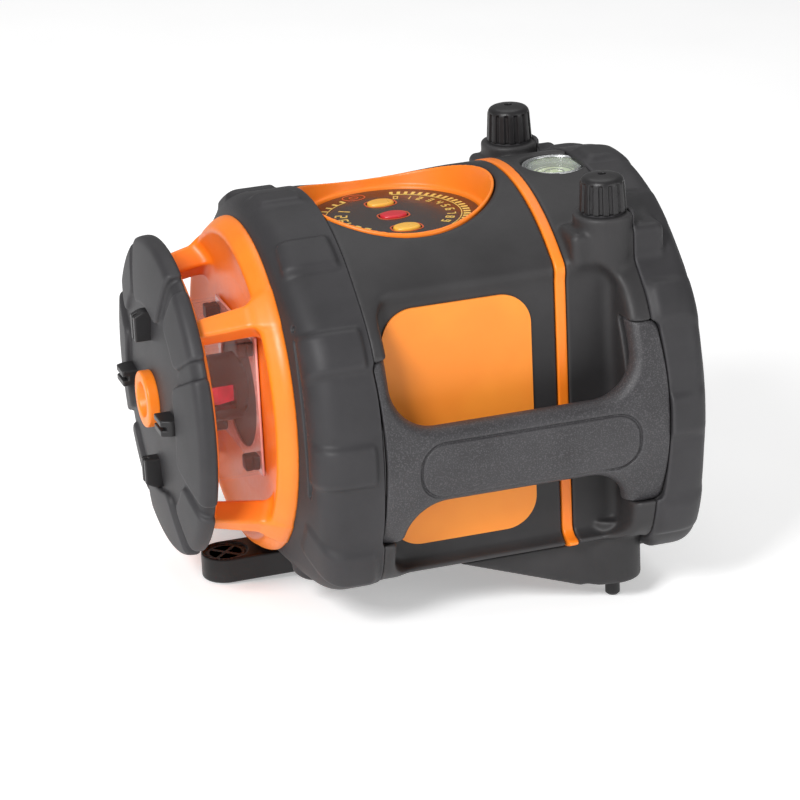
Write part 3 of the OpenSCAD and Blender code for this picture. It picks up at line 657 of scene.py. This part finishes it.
def screw_bores(x, y, z):
    """Journal, guide and outlet of both foot screws."""
    u, v = from_leg(x, y)
    rho = np.hypot(u, v)
    journal = np.maximum(rho - JOURNAL_R, 40 - z)
    guide = box(u, v, z, (-GUIDE_HALF, -GUIDE_HALF, -79), (GUIDE_HALF, GUIDE_HALF, -40), 0.2)
    outlet = np.maximum(rho - OUTLET_R, z + 70)
    return np.minimum(np.minimum(journal, guide), outlet)


def panel_well(x, y, z):
    """The conical well that holds the panel surround."""
    rho = np.hypot(x - PANEL_X, y)
    return smax(cone(rho, z, PANEL_Z - 3, PANEL_R + 3.3, DRUM_TOP, PANEL_R + 6.2), PANEL_Z - 5 - z, 0.5)


def front_face(x, rho):
    """The slightly sloping front face of the boot, round the cage's flange."""
    return cone(rho, x, SHOULDER_X, FLANGE_R + 0.8, SHOULDER_X + 3.5, 82)


def shoulder(x, y, z):
    """The front boot's outer form between its pads, with its rounded front edge."""
    return smax(skin(x, y, z) - BOOT_SKIN, front_face(x, np.hypot(y, z)), 9)


def front_shell(x, y, z):
    """Front housing: its shell, the neck under the cage and its openings."""
    d = smax(body(x, y, z), slab(x, HOUSING_FRONT + 0.3, TRIM_FRONT - SEAM), 0.8)
    d = smax(d, np.minimum(shoulder(x, y, z) + 3.1, BAND_REAR + 0.1 - x), 0.5)
    hollow = smax(cavity(x, y, z), HOUSING_FRONT + 3.3 - x, 0.5)
    d = cut(d, hollow, 0.6)
    neck = rod(np.hypot(y, z), x, 66, SHOULDER_X + 0.2, HOUSING_FRONT + 3, 0.5)
    d = np.minimum(d, neck)
    d = smax(d, 48 - np.hypot(y, z), 1)
    d = cut(d, panel_well(x, y, z), 3.0)
    for middle in BUTTON_Y:
        stem = rod(np.hypot(x - PANEL_X, y - middle), z, 4, PANEL_Z - 14, PANEL_Z + 2, 0.2)
        d = cut(d, stem, 0.3)
    return d


def rear_shell(x, y, z):
    """Rear housing with both towers, open for the foot screws and the vial."""
    d = smax(body(x, y, z), slab(x, TRIM_REAR + SEAM, -3.3), 0.8)
    d = smax(d, np.minimum(skin(x, y, z) + 2.8, x - REAR_BOOT_FRONT + 0.1), 0.5)
    d = smin(d, towers(x, y, z), 1.5)
    d = cut(d, cavity(x, y, z), 0.6)
    d = cut(d, screw_bores(x, y, z), 0.4)
    return cut(d, rod(np.hypot(x - VIAL_X, y), z, VIAL_R + 0.2, VIAL_TOP - 11.6, VIAL_TOP + 9, 0.3), 1.6)


def trim_form(x, y, z):
    """The coloured ring between the housings."""
    d = smax(body(x, y, z) - 0.3, slab(x, TRIM_FRONT + 0.1, TRIM_REAR - 0.1), 0.5)
    return cut(d, cavity(x, y, z), 0.5)


def make_body():
    """Both housings and the trim ring."""
    low, high = [front_low[0], -ROOM, -70], [TRIM_FRONT + 1, ROOM, DRUM_TOP + 6]
    stand_for(form_piece("front_housing_shell", front_shell, low, high, 0.95), "front_housing")
    low, high = [LEG_X - 74, -ROOM - 2, TOWER_FLOOR - 1], [0, ROOM + 2, DRUM_TOP + 6]
    stand_for(form_piece("rear_housing_shell", rear_shell, low, high, 0.9), "rear_housing")
    low, high = [TRIM_FRONT, 4 - ROOM, -70], [TRIM_REAR, ROOM - 4, DRUM_TOP + 2]
    stand_for(form_piece("trim_band", trim_form, low, high, 0.6), "trim_ring")


# ------------------------ boots
def front_boot(x, y, z):
    """Soft boot round the front shoulder, with raised pads and a thin groove on each side."""
    rho = np.hypot(y, z)
    pads = smax(skin(x, y, z) - PAD_RISE - BOOT_SKIN, front_face(x, rho) - 0.8, 8)
    pads = smax(pads, pad_side(y, z), 2.6)
    pads = smax(smax(pads, x - BAND_REAR + 3, 2.6), 75 - rho, 4)
    base = shoulder(x, y, z)
    d = smin(base, pads, 2.2)
    d = smax(d, x - BAND_REAR, 0.4)
    d = smax(d, -np.maximum(crescent(y, z), -d - 1.0), 0.3)
    inner = np.minimum(np.maximum(base + 2.9, HOUSING_FRONT - 0.1 - x), rho - 66.3)
    return smax(smax(d, -inner, 0.5), -handle_block(x, y, z, HANDLE_GAP), 0.8)


def crescent(y, z):
    """Distance from the thin groove on each side of the shoulder, its hook and its dot."""
    angle = np.degrees(np.arctan2(np.abs(y), z))  # 0 at the top, 90 at the side
    rho = np.hypot(y, z)
    path = 72.6 + 2.6 * ((angle - 80) / 28) ** 2
    line = np.maximum(np.abs(rho - path) - 0.8, (np.abs(angle - 83.5) - 24.5) * 1.25)
    hook = np.maximum(np.abs(rho - 75.3 - (108 - angle) * 0.2) - 0.6, (np.abs(angle - 105) - 3) * 1.25)
    dot = np.hypot(rho - 74.2, (angle - 55.5) * 1.25) - 1.1
    return np.minimum(np.minimum(line, hook), dot)


def rear_boot(x, y, z):
    """Soft boot round the base, with raised pads."""
    hide = skin(x, y, z)
    pads = smax(smax(hide - PAD_RISE - BOOT_SKIN, x + 1.6, 11), pad_side(y, z), 3.2)
    pads = smax(pads, REAR_BOOT_FRONT + 2 - x, 3.2)
    ridge = smax(smin(hide, collars(x, y, z), 2.4) - BOOT_SKIN, x + 1.0, 8)
    d = smin(smin(smax(hide - BOOT_SKIN, x + 0.1, 7.6), ridge, 0.5), pads, 3)
    d = smax(d, REAR_BOOT_FRONT - x, 0.4)
    inner = np.minimum(np.maximum(hide + 2.6, x + 3.3), np.maximum(hide + 4.3, DRUM_FLOOR + 0.1 - z))
    d = smax(d, -inner, 0.5)
    return smax(d, -handle_block(x, y, z, HANDLE_GAP), 0.8)


def make_boots():
    """Both soft boots."""
    low, high = [SHOULDER_X, -ROOM, BOOT_FLOOR - 4], [BAND_REAR, ROOM, 80]
    stand_for(form_piece("front_boot", front_boot, low, high, 0.6), "front_bumper")
    low, high = [REAR_BOOT_FRONT, -ROOM, REAR_BOOT_FLOOR - 4], [0, ROOM, 80]
    stand_for(form_piece("rear_boot", rear_boot, low, high, 0.7), "rear_bumper")


def make_base_cover():
    """The base plate with its rim drawn in to meet the rounded edge of the boot."""
    inset = 4.4
    middle = Vector((0, 0, BAND_Z * MM))
    mesh = frame["nodes"]["base_plate"].data.copy()
    for vertex in mesh.vertices:
        y, z = vertex.co.y / MM, vertex.co.z / MM
        depth = float(skin(np.array([-10.0]), np.array([y]), np.array([z]))[0])
        if depth > -inset:
            arm = Vector((0, vertex.co.y, vertex.co.z)) - middle
            arm *= 1 - (depth + inset) * MM / arm.length
            vertex.co = Vector((vertex.co.x, 0, 0)) + middle + arm
    stand_for(add_object("base_cover", mesh), "base_plate")


# ------------------------ handles
def handle_form(x, y, z):
    """Left handle: two legs and a grip bar with a shallow inset."""
    rho = np.hypot(y, z - HANDLE_Z)
    shell = slab(rho, HANDLE_R - HANDLE_T, HANDLE_R)
    upper = plate(x, z, (RECESS_X[0], 2), (RECESS_X[1], 90), 17)
    lower = plate(x, z, (RECESS_X[0] + 5, -100), (RECESS_X[1] - 3, -30.5), 16)
    window = np.minimum(upper, lower)
    d = smax(shell, handle_block(x, y, z), 1.2)
    d = smax(d, -window, 1.0)
    d = smax(d, smax(shell, -window, 8), 1.0)
    inset = plate(x, z, (RECESS_X[0] + 9, -27), (RECESS_X[1] + 1, -4), 10)
    d = smax(d, -np.maximum(inset, HANDLE_R - 0.4 - rho), 0.3)
    d = smax(d, -np.maximum(np.abs(inset) - 0.55, HANDLE_R - 1.3 - rho), 0.4)
    return smax(d, y + 40, 1)


def make_handles():
    """The left handle and its mirror image."""
    low, high = handle_low - 3, handle_high + 3
    low[1] = -ROOM - 2
    left = form_piece("left_grip", handle_form, low, high, 0.55)
    right = mirrored(left, "right_grip")
    stand_for(left, "left_handle")
    stand_for(right, "right_handle")


# ------------------------ head
def cage_form(x, y, z):
    """Flange with its scooped bowl, four posts that lean inward and the plate under the cap."""
    rho = np.hypot(y, z)
    front = cage_high[0] - 8  # the flange's front
    floor = front + 4.4  # the bottom of the bowl
    foot = front + 6  # where the posts end in the flange
    rim = cone(rho, x, front, FLANGE_R - 4.2, front + 5.5, FLANGE_R)
    d = smax(smax(rho - FLANGE_R, slab(x, front, cage_high[0]), 0.8), rim, 1.5)
    bowl = smax(cone(rho, x, front, FLANGE_R - 5.6, floor, 54), x - floor, 4)
    d = smax(d, -bowl, 0.8)
    posts = None
    for angle in POST_ANGLES:
        side, out = turned(y, z, angle)
        lean = np.clip((foot - x) / (foot - CAP_BACK), 0, 1)
        outer = cone(out, x, CAP_BACK, 57.5, foot, 64.5)
        inner = cone(out, x, CAP_BACK, 48.5, foot, 53.5)
        half = 5.2 - 1.4 * lean
        post = smax(smax(outer, -inner, 1.4), np.abs(side) - half, 1.4)
        post = smax(post, slab(x, CAP_BACK - 1, cage_high[0] - 1), 0.5)
        posts = post if posts is None else np.minimum(posts, post)
    d = smin(d, posts, 4.5)
    disc = smax(slab(x, cage_low[0], cage_low[0] + 2.2), rho - 56, 0.8)
    d = smin(d, disc, 1.0)
    d = smax(d, 8 - rho, 0.3)
    throat = np.minimum(np.maximum(rho - 25.6, front + 3 - x), smax(rho - 43, x - floor, 0.5))
    throat = np.maximum(throat, cage_low[0] + 3 - x)
    d = cut(d, throat, 0.5)
    return smax(smax(d, x - cage_high[0], 0.3), cage_low[0] - x, 0.3)


def cap_form(x, y, z):
    """Cap with a flat middle and broad raised petals between narrow channels."""
    rho = np.hypot(y, z)
    away = np.radians(np.abs((np.degrees(np.arctan2(z, y)) + 45) % 90 - 45))  # from the nearest blade
    depth = 2.4  # of the flat middle behind the CAD cap's front
    face = CAP_FACE + depth - x
    slope = cone(rho, -x, -(CAP_FACE + depth), 43, -(CAP_BACK - 5), CAP_R - 2.6)
    d = smax(smax(face, slope, 6), rho - CAP_R + 2.6, 6)
    long_petal = smax(rho * np.sin(away - math.radians(24.5)), 38 - rho, 5)
    short_petal = smax(rho * np.sin(math.radians(31.5) - away), 44 - rho, 5)
    raised = smax(smax(face - 1.8, slope - 1.9, 4), rho - CAP_R + 0.4, 4)
    petals = np.minimum(smax(raised, long_petal, 1.6), smax(raised + 0.5, short_petal, 1.6))
    d = smin(d, petals, 1.2)
    d = smax(d, rho - CAP_R + 0.8, 1.0)
    d = smax(d, x - CAP_BACK, 2.4)
    return smax(d, 8.2 - rho, 0.4)


def cap_bezel_form(x, y, z):
    """Coloured ring round the plumb beam's outlet, with its stem."""
    rho = np.hypot(y, z)
    low, high = mm_box("cap_bezel")
    ring = rod(rho, x, 11.4, low[0], CAP_FACE + 2.8, 0.9)
    stem = rod(rho, x, 7.9, low[0] + 1, high[0], 0.3)
    d = smin(ring, stem, 0.3)
    return smax(d, -cone(rho, -x, -low[0], 7.2, -low[0] - 5, 5.5), 0.8)


def sights_form(x, y, z):
    """Four notched blades on the cap's face."""
    tip = blades_low[0]
    d = None
    for angle in BLADE_ANGLES:
        side, out = turned(y, z, angle)
        blade = box(x, side, out, (tip, -3.2, 25), (CAP_FACE + 3.5, 3.2, 37), 0.5)
        notch = box(x, side, out, (tip - 2, -0.8, 20), (tip + 2.4, 0.8, 40), 0.1)
        blade = smax(blade, -notch, 0.3)
        blade = smax(blade, cone(out, -x, -CAP_FACE, 37, -tip, 35.2), 0.4)
        d = blade if d is None else np.minimum(d, blade)
    return d


def panes_form(x, y, z):
    """The four upright walls of the glass lantern."""
    half = panes_high[1]
    near = np.maximum(np.abs(y), np.abs(z))
    d = smax(slab(near, half - 2.0, half - 0.2), np.minimum(np.abs(y), np.abs(z)) - half + 2.2, 0.4)
    return smax(d, slab(x, panes_low[0], panes_high[0] - 1.1), 0.4)


def pane_base_form(x, y, z):
    """The lantern's square base with its round opening."""
    d = box(x, y, z, (panes_high[0] - 1, panes_low[1], panes_low[2]), panes_high, 0.3)
    return cut(d, np.hypot(y, z) - 25, 0.4)


def pane_pads_form(x, y, z):
    """Soft corner blocks of the lantern, each with a slot for the panes."""
    half = (pads_high[1] - pads_low[1]) / 2
    u, v = np.abs(y) - half + 3, np.abs(z) - half + 3
    d = box(x, u, v, (pads_low[0], -3, -3), (pads_high[0], 3, 3), 0.9)
    return cut(d, np.maximum(slab(x, pads_low[0] + 2.6, pads_low[0] + 3.4), 1.8 - u), 0.2)


def make_head():
    """Cage, cap, outlet, sights and lantern."""
    replace_node("rotor_cage", "cage", cage_form, 0.75)
    stand_for(form_piece("cap", cap_form, cap_low - 2, cap_high + 1, 0.75), "head_cap")
    replace_node("cap_bezel", "beam_bezel", cap_bezel_form, 0.4, spare=0)
    replace_node("sight_blades", "sights", sights_form, 0.35)
    replace_node("pane_pads", "pane_corners", pane_pads_form, 0.3)
    replace_node("lantern_panes", "lantern_walls", panes_form, 0.45)
    base = replace_node("lantern_panes", "lantern_base", pane_base_form, 0.45)
    base.data.materials[0] = materials["tinted_base"]


# ------------------------ control panel
def bezel_form(x, y, z):
    """Conical coloured surround, trimmed to the drum's skin."""
    rho = np.hypot(x - PANEL_X, y)
    outer = cone(rho, z, PANEL_Z - 3, PANEL_R + 3.0, DRUM_TOP, PANEL_R + 5.9)
    d = smax(outer, drum(x, y, z) + 0.5, 1.0)
    d = smax(d, PANEL_Z - 4.8 - z, 0.5)
    inner = cone(rho, z, PANEL_Z, PANEL_R + 0.4, DRUM_TOP, PANEL_R + 3.6)
    inner = smax(inner, PANEL_Z - 2 - z, 0.3)
    lip = cone(rho, z, PANEL_Z, PANEL_R + 1.6, DRUM_TOP, PANEL_R + 4.8)
    lip = smax(lip, PANEL_Z + 1.0 - z, 0.6)
    d = smax(d, -inner, 0.5)
    return smax(d, -lip, 0.5)


def shield(u, v, grow=0.0):
    """A button's outline: broad with blunt points left and right."""
    d = smax(np.abs(v) * 0.86 + np.abs(u) * 0.5 - 4.6, np.abs(u) - 5.4, 1.5)
    return smax(d, np.abs(v) - 4.1, 1.5) - grow


def panel_face_form(x, y, z):
    """The dark disc with its three button openings."""
    d = rod(np.hypot(x - PANEL_X, y), z, PANEL_R - 0.05, PANEL_Z - 2, PANEL_Z, 0.25)
    for middle in BUTTON_Y:
        d = smax(d, -shield(x - PANEL_X, y - middle, 0.25), 0.3)
    return d


def button_form(x, y, z, middle):
    """Domed key with its round stem."""
    u, v = x - PANEL_X, y - middle
    top = button_high[2] + 0.35 - (u ** 2 + v ** 2) / 90
    d = smax(shield(u, v), z - top, 0.9)
    d = smax(d, button_high[2] - 1.8 - z, 0.2)
    return np.minimum(d, rod(np.hypot(u, v), z, 2.2, button_low[2], button_high[2] - 1, 0.2))


DIGIT_BARS = {  # each bar from one corner of a two-square stack to another
    "a": ((0, 2), (1, 2)), "b": ((1, 2), (1, 1)), "c": ((1, 1), (1, 0)), "d": ((0, 0), (1, 0)),
    "e": ((0, 0), (0, 1)), "f": ((0, 1), (0, 2)), "g": ((0, 1), (1, 1)),
}
DIGITS = ("abcdef", "bc", "abged", "abgcd", "fgbc", "afgcd", "afgedc", "abc", "abcdefg", "abcdfg")


def heading(degrees):
    """The unit vector that many degrees from the panel's +X."""
    return np.array((math.cos(math.radians(degrees)), math.sin(math.radians(degrees))))


class Print:
    """Flat raised ink, gathered as four-sided plates."""

    def __init__(self):
        self.points, self.faces = [], []

    def bar(self, start, end, width):
        """One stroke between two points in panel coordinates."""
        start, end = np.array(start, float), np.array(end, float)
        along = (end - start) / np.linalg.norm(end - start)
        across = np.array((-along[1], along[0])) * width / 2
        first = len(self.points)
        for z in (PANEL_Z - 0.05, PANEL_Z + 0.12):
            for corner in (start - across, end - across, end + across, start + across):
                self.points.append((PANEL_X + corner[0], corner[1], z))
        ring = [(0, 3, 2, 1), (4, 5, 6, 7)] + [(i, (i + 1) % 4, (i + 1) % 4 + 4, i + 4) for i in range(4)]
        self.faces += [tuple(first + i for i in face) for face in ring]

    def tick(self, degrees, inner, outer, width):
        """A stroke that points at the panel's middle."""
        self.bar(heading(degrees) * inner, heading(degrees) * outer, width)

    def digit(self, number, degrees, radius, height):
        """A digit whose top points away from the panel's middle."""
        up = heading(degrees)
        side = np.array((up[1], -up[0]))
        middle = up * radius
        for name in DIGITS[number]:
            start, end = (middle + side * (a - 0.5) * height * 0.5 + up * (b - 1) * height * 0.5
                          for a, b in DIGIT_BARS[name])
            stretch = (end - start) * 0.08
            self.bar(start - stretch, end + stretch, height * 0.16)

    def loop(self, outline, width, count=36):
        """A closed line through outline(angle)."""
        spots = [outline(2 * math.pi * i / count) for i in range(count)]
        for i in range(count):
            self.bar(spots[i], spots[(i + 1) % count], width)

    def piece(self, name, ink, lift=0.0):
        """The ink as a piece of the chassis, raised from the panel's height."""
        points = np.array(self.points) + (0, 0, lift)
        printed = mesh_object(name, points, self.faces, smooth=False)
        printed.data.materials.append(materials[ink])
        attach(printed, "chassis")


def shield_line(middle, grow):
    """The closed line around a button, as a function of direction."""
    def spot(angle):
        way = np.array((math.cos(angle), math.sin(angle)))
        low, high = 0.0, 9.0
        for _ in range(20):
            reach = (low + high) / 2
            if shield(*(way * reach)) < grow:
                low = reach
            else:
                high = reach
        return way * reach + (0, middle)
    return spot


def oval(middle, along, across):
    """An oval around a place on the panel, with its half lengths along X and Y."""
    return lambda angle: np.array(middle) + (along * math.cos(angle), across * math.sin(angle))


def make_panel():
    """Surround, dark face, three keys and the print."""
    replace_node("panel_bezel", "panel_surround", bezel_form, 0.6, spare=4)
    replace_node("control_panel", "panel_face", panel_face_form, 0.4)
    for node, middle in zip(("near_button", "power_button", "far_button"), BUTTON_Y):
        form = lambda x, y, z, middle=middle: button_form(x, y, z, middle)
        replace_node(node, node + "_key", form, 0.25, body=node)

    pale, red = Print(), Print()
    # the left scale, with the digits 1 to 6
    for i in range(13):
        pale.tick(LEFT_SCALE[0] + i * 9.2, SCALE_R, PANEL_R * 0.86, 1.1)
    for number in range(1, 7):
        pale.digit(number, 130 + number * 15, PANEL_R * 0.60, 4.4)
    # the right scale, with the digits 0 to 9
    for i in range(22):
        pale.tick(RIGHT_SCALE[0] - i * 5.9, PANEL_R * 0.80, PANEL_R * 0.88, 1.4)
    for number in range(10):
        pale.digit(number, 70 - number * 12.6, PANEL_R * 0.66, 3.2)
    # an arc along each scale
    for start, end in (LEFT_SCALE, RIGHT_SCALE):
        for i in range(30):
            ends = (start + (end - start) * (i + k) / 30 for k in (0, 1))
            pale.bar(*(heading(degrees) * SCALE_R for degrees in ends), 0.4)
    # double ovals between the scales, and outlines round the buttons
    for degrees in (105, -76):
        middle = heading(degrees) * (PANEL_R * 0.85)
        red.loop(oval(middle, 4.6, 3.6), 0.55)
        red.loop(oval(middle, 1.8, 1.4), 0.5, 16)
    for middle in BUTTON_Y:
        red.loop(shield_line(middle, 0.9), 0.6)
    pale.piece("panel_scales", "scale_ink")
    red.piece("panel_outlines", "outline_ink")


# ------------------------ feet, knobs and vial
def knob_form(x, y, z):
    """Fluted knob with a domed top and a small hole."""
    u, v = x - LEG_X, y + LEG_Y
    rho = np.hypot(u, v)
    bottom, top = knob_low[2], knob_high[2]
    flute_count, dome_r = 14, 26
    flute = np.cos(np.arctan2(v, u) * flute_count)
    side = cone(rho, z, bottom, KNOB_R, top, KNOB_R - 0.9)
    grip = 0.85 * soft_step(-flute, -0.1, 0.7) * (1 - soft_step(z, top - 3.6, top - 2.6))
    d = smax(side + grip, bottom - z, 0.6)
    dome = np.sqrt(rho ** 2 + (z - (top - dome_r)) ** 2) - dome_r
    d = smax(d, dome, 2.2)
    d = cut(d, rod(rho, z, 1.6, top - 2.5, top + 3, 0.1), 0.5)
    return smax(d, -np.maximum(rho - 2.0, z - (top - 4)), 0.2)


def vial_form(x, y, z):
    """Metal cup with a broad bright lip."""
    rho = np.hypot(x - VIAL_X, y)
    d = rod(rho, z, VIAL_R, cup_low[2], cup_high[2] + 0.6, 0.7)
    d = smax(d, -rod(rho, z, 11.1, cup_low[2] + 1.2, cup_high[2] + 3, 0.2), 0.4)
    return cut(d, np.maximum(np.abs(rho - 12.2) - 0.25, cup_high[2] + 0.1 - z), 0.2)


def lens_form(x, y, z):
    """Low domed lens over the liquid."""
    rho = np.hypot(x - VIAL_X, y)
    dome_r = 58
    dome = np.sqrt(rho ** 2 + (z - lens_high[2] + dome_r) ** 2) - dome_r
    return smax(rod(rho, z, 10.9, lens_low[2], lens_high[2] + 1, 0.3), dome, 0.4)


def fluid_form(x, y, z):
    """Liquid with a bubble near the middle."""
    rho = np.hypot(x - VIAL_X, y)
    d = rod(rho, z, 9.0, fluid_low[2], fluid_high[2], 0.3)
    u, v = x - VIAL_X + 1.6, y - 1.2  # from the bubble's middle
    bubble = np.sqrt((u ** 2 + v ** 2) / 1.6 + (z - fluid_high[2]) ** 2) - 2.6
    return smax(d, -bubble, 0.5)


def make_vial():
    """Cup, lens, liquid and the two circles."""
    stand_for(form_piece("vial_ring", vial_form, cup_low - 1, cup_high + 2, 0.3), "vial_cup")
    replace_node("vial_lens", "vial_dome", lens_form, 0.3)
    replace_node("vial_fluid", "vial_liquid", fluid_form, 0.3)
    mark = Print()
    for radius in (3.9, 7.4):
        mark.loop(oval((VIAL_X - PANEL_X, 0), radius, radius), 0.35, 48)
    mark.piece("vial_circles", "circle_ink", fluid_high[2] + 0.1 - PANEL_Z)


def make_knobs():
    """The left knob and its mirror image."""
    left = form_piece("left_knob_grip", knob_form, knob_low - 1, knob_high + 1, 0.3)
    right = mirrored(left, "right_knob_grip")
    stand_for(left, "left_knob", "left_knob")
    stand_for(right, "right_knob", "right_knob")


def foot_form(x, y, z):
    """Fixed foot: a round toe on a bar that runs back under the boot."""
    bar = plate(x, y, (foot_low[0], -10), (foot_high[0] + 12, 10), 9.95)
    d = smax(bar, slab(z, foot_low[2], foot_high[2]), 1.2)
    d = smax(d, x - foot_high[0], 1)
    under = smax(SHOULDER_X - 1 - x, boot_low[2] + 0.1 - z, 1)
    d = smax(d, -under, 1)
    return cut(d, rod(np.hypot(x - TOE_X, y), z, 9.0, foot_high[2] - 1, foot_high[2] + 3, 0.2), 0.4)


def target_form(x, y, z):
    """Round disc with a cut ring and a diagonal cross inside it."""
    u, rho = x - TOE_X, np.hypot(x - TOE_X, y)
    ring_r = 7.2
    d = rod(rho, z, 8.8, target_low[2], target_high[2], 0.5)
    cross = np.minimum(np.abs(u + y), np.abs(u - y)) / math.sqrt(2) - 0.45
    ring = np.abs(rho - ring_r) - 0.3
    lines = np.minimum(np.maximum(cross, rho - ring_r), ring)
    return cut(d, np.maximum(lines, target_high[2] - 0.5 - z), 0.2)


def make_feet():
    """The front foot and its target."""
    replace_node("front_foot", "front_toe", foot_form, 0.5)
    replace_node("beam_target", "target_disc", target_form, 0.25, spare=0)


# ------------------------ stage
FLOOR_SIZE = 20.0
WORLD_LIGHT = 0.27
WHITE = (1, 1, 1, 1)
LIGHT_AIM = (-0.1, 0, 0)
LIGHTS = (  # name, place, size and power
    ("key", (-1.1, -1.0, 1.05), 0.5, 27),
    ("fill", (0.9, -1.2, 0.4), 0.8, 6),
    ("top", (0.1, 0.5, 1.5), 1.2, 8),
)
CAMERA_SIDE, CAMERA_HEIGHT, CAMERA_ROLL = 17.23, 20.84, 2.75  # degrees
CAMERA_TARGET = (-0.100, 0, -0.01755)
CAMERA_DISTANCE = 1.4198
CAMERA_LENS, CAMERA_SENSOR = 157.5, 36


def make_floor():
    """A pale floor through the front foot and both foot pins."""
    front = np.array([foot_low[0] + 4, 0, foot_low[2] - 0.3])
    rear = np.array([LEG_X, 0, pin_low[2]])
    mesh = bpy.data.meshes.new("floor")
    corners = [(-1, -1), (1, -1), (1, 1), (-1, 1)]
    mesh.from_pydata([(a * FLOOR_SIZE, b * FLOOR_SIZE, 0) for a, b in corners], [], [(0, 1, 2, 3)])
    floor = add_object("floor", mesh)
    floor.location = Vector(rear * MM)
    floor.rotation_euler = (0, math.atan2(front[2] - rear[2], rear[0] - front[0]), 0)
    s = Shader("floor_pale")
    pale = s.mix(s.noise(0.01, 2), (0.90, 0.90, 0.90, 1), (0.94, 0.94, 0.94, 1))
    s.set(Base_Color=pale, Roughness=0.8, Emission_Color=pale, Emission_Strength=0.4)
    mesh.materials.append(s.material)


def make_world():
    """Even white light, with a brighter white backdrop that only the camera sees."""
    world = bpy.data.worlds.new("studio")
    bpy.context.scene.world = world
    world.use_nodes = True
    nodes, links = world.node_tree.nodes, world.node_tree.links
    sky = nodes["Background"]
    sky.inputs["Color"].default_value = WHITE
    sky.inputs["Strength"].default_value = WORLD_LIGHT
    backdrop = nodes.new("ShaderNodeBackground")
    backdrop.inputs["Color"].default_value = WHITE
    direct = nodes.new("ShaderNodeLightPath")
    mix = nodes.new("ShaderNodeMixShader")
    links.new(direct.outputs["Is Camera Ray"], mix.inputs["Fac"])
    links.new(sky.outputs["Background"], mix.inputs[1])
    links.new(backdrop.outputs["Background"], mix.inputs[2])
    links.new(mix.outputs["Shader"], nodes["World Output"].inputs["Surface"])
    bpy.context.scene.view_settings.view_transform = "Standard"


def make_lights():
    """Soft square lamps, all aimed at the body."""
    for name, place, size, power in LIGHTS:
        light = bpy.data.lights.new(name, "AREA")
        light.size = size
        light.energy = power
        lamp = add_object(name, light)
        lamp.location = place
        lamp.rotation_euler = (Vector(LIGHT_AIM) - Vector(place)).to_track_quat("-Z", "Y").to_euler()


def make_camera():
    """A long lens from the front left, slightly above and slightly rolled."""
    side, height, roll = (math.radians(v) for v in (CAMERA_SIDE, CAMERA_HEIGHT, CAMERA_ROLL))
    flat = math.cos(height)
    back = Vector((-math.sin(side) * flat, -math.cos(side) * flat, math.sin(height)))
    level = Vector((math.cos(side), -math.sin(side), 0))
    upright = back.cross(level)
    right = level * math.cos(roll) - upright * math.sin(roll)
    up = level * math.sin(roll) + upright * math.cos(roll)
    data = bpy.data.cameras.new("camera")
    data.lens = CAMERA_LENS
    data.sensor_width = CAMERA_SENSOR
    camera = add_object("camera", data)
    matrix = Matrix((right, up, back)).transposed().to_4x4()
    matrix.translation = Vector(CAMERA_TARGET) + back * CAMERA_DISTANCE
    camera.matrix_world = matrix
    bpy.context.scene.camera = camera


# ------------------------ the whole scene
dress_frame()
make_body()
make_boots()
make_base_cover()
make_handles()
make_head()
make_panel()
make_knobs()
make_vial()
make_feet()
make_floor()
make_world()
make_lights()
make_camera()
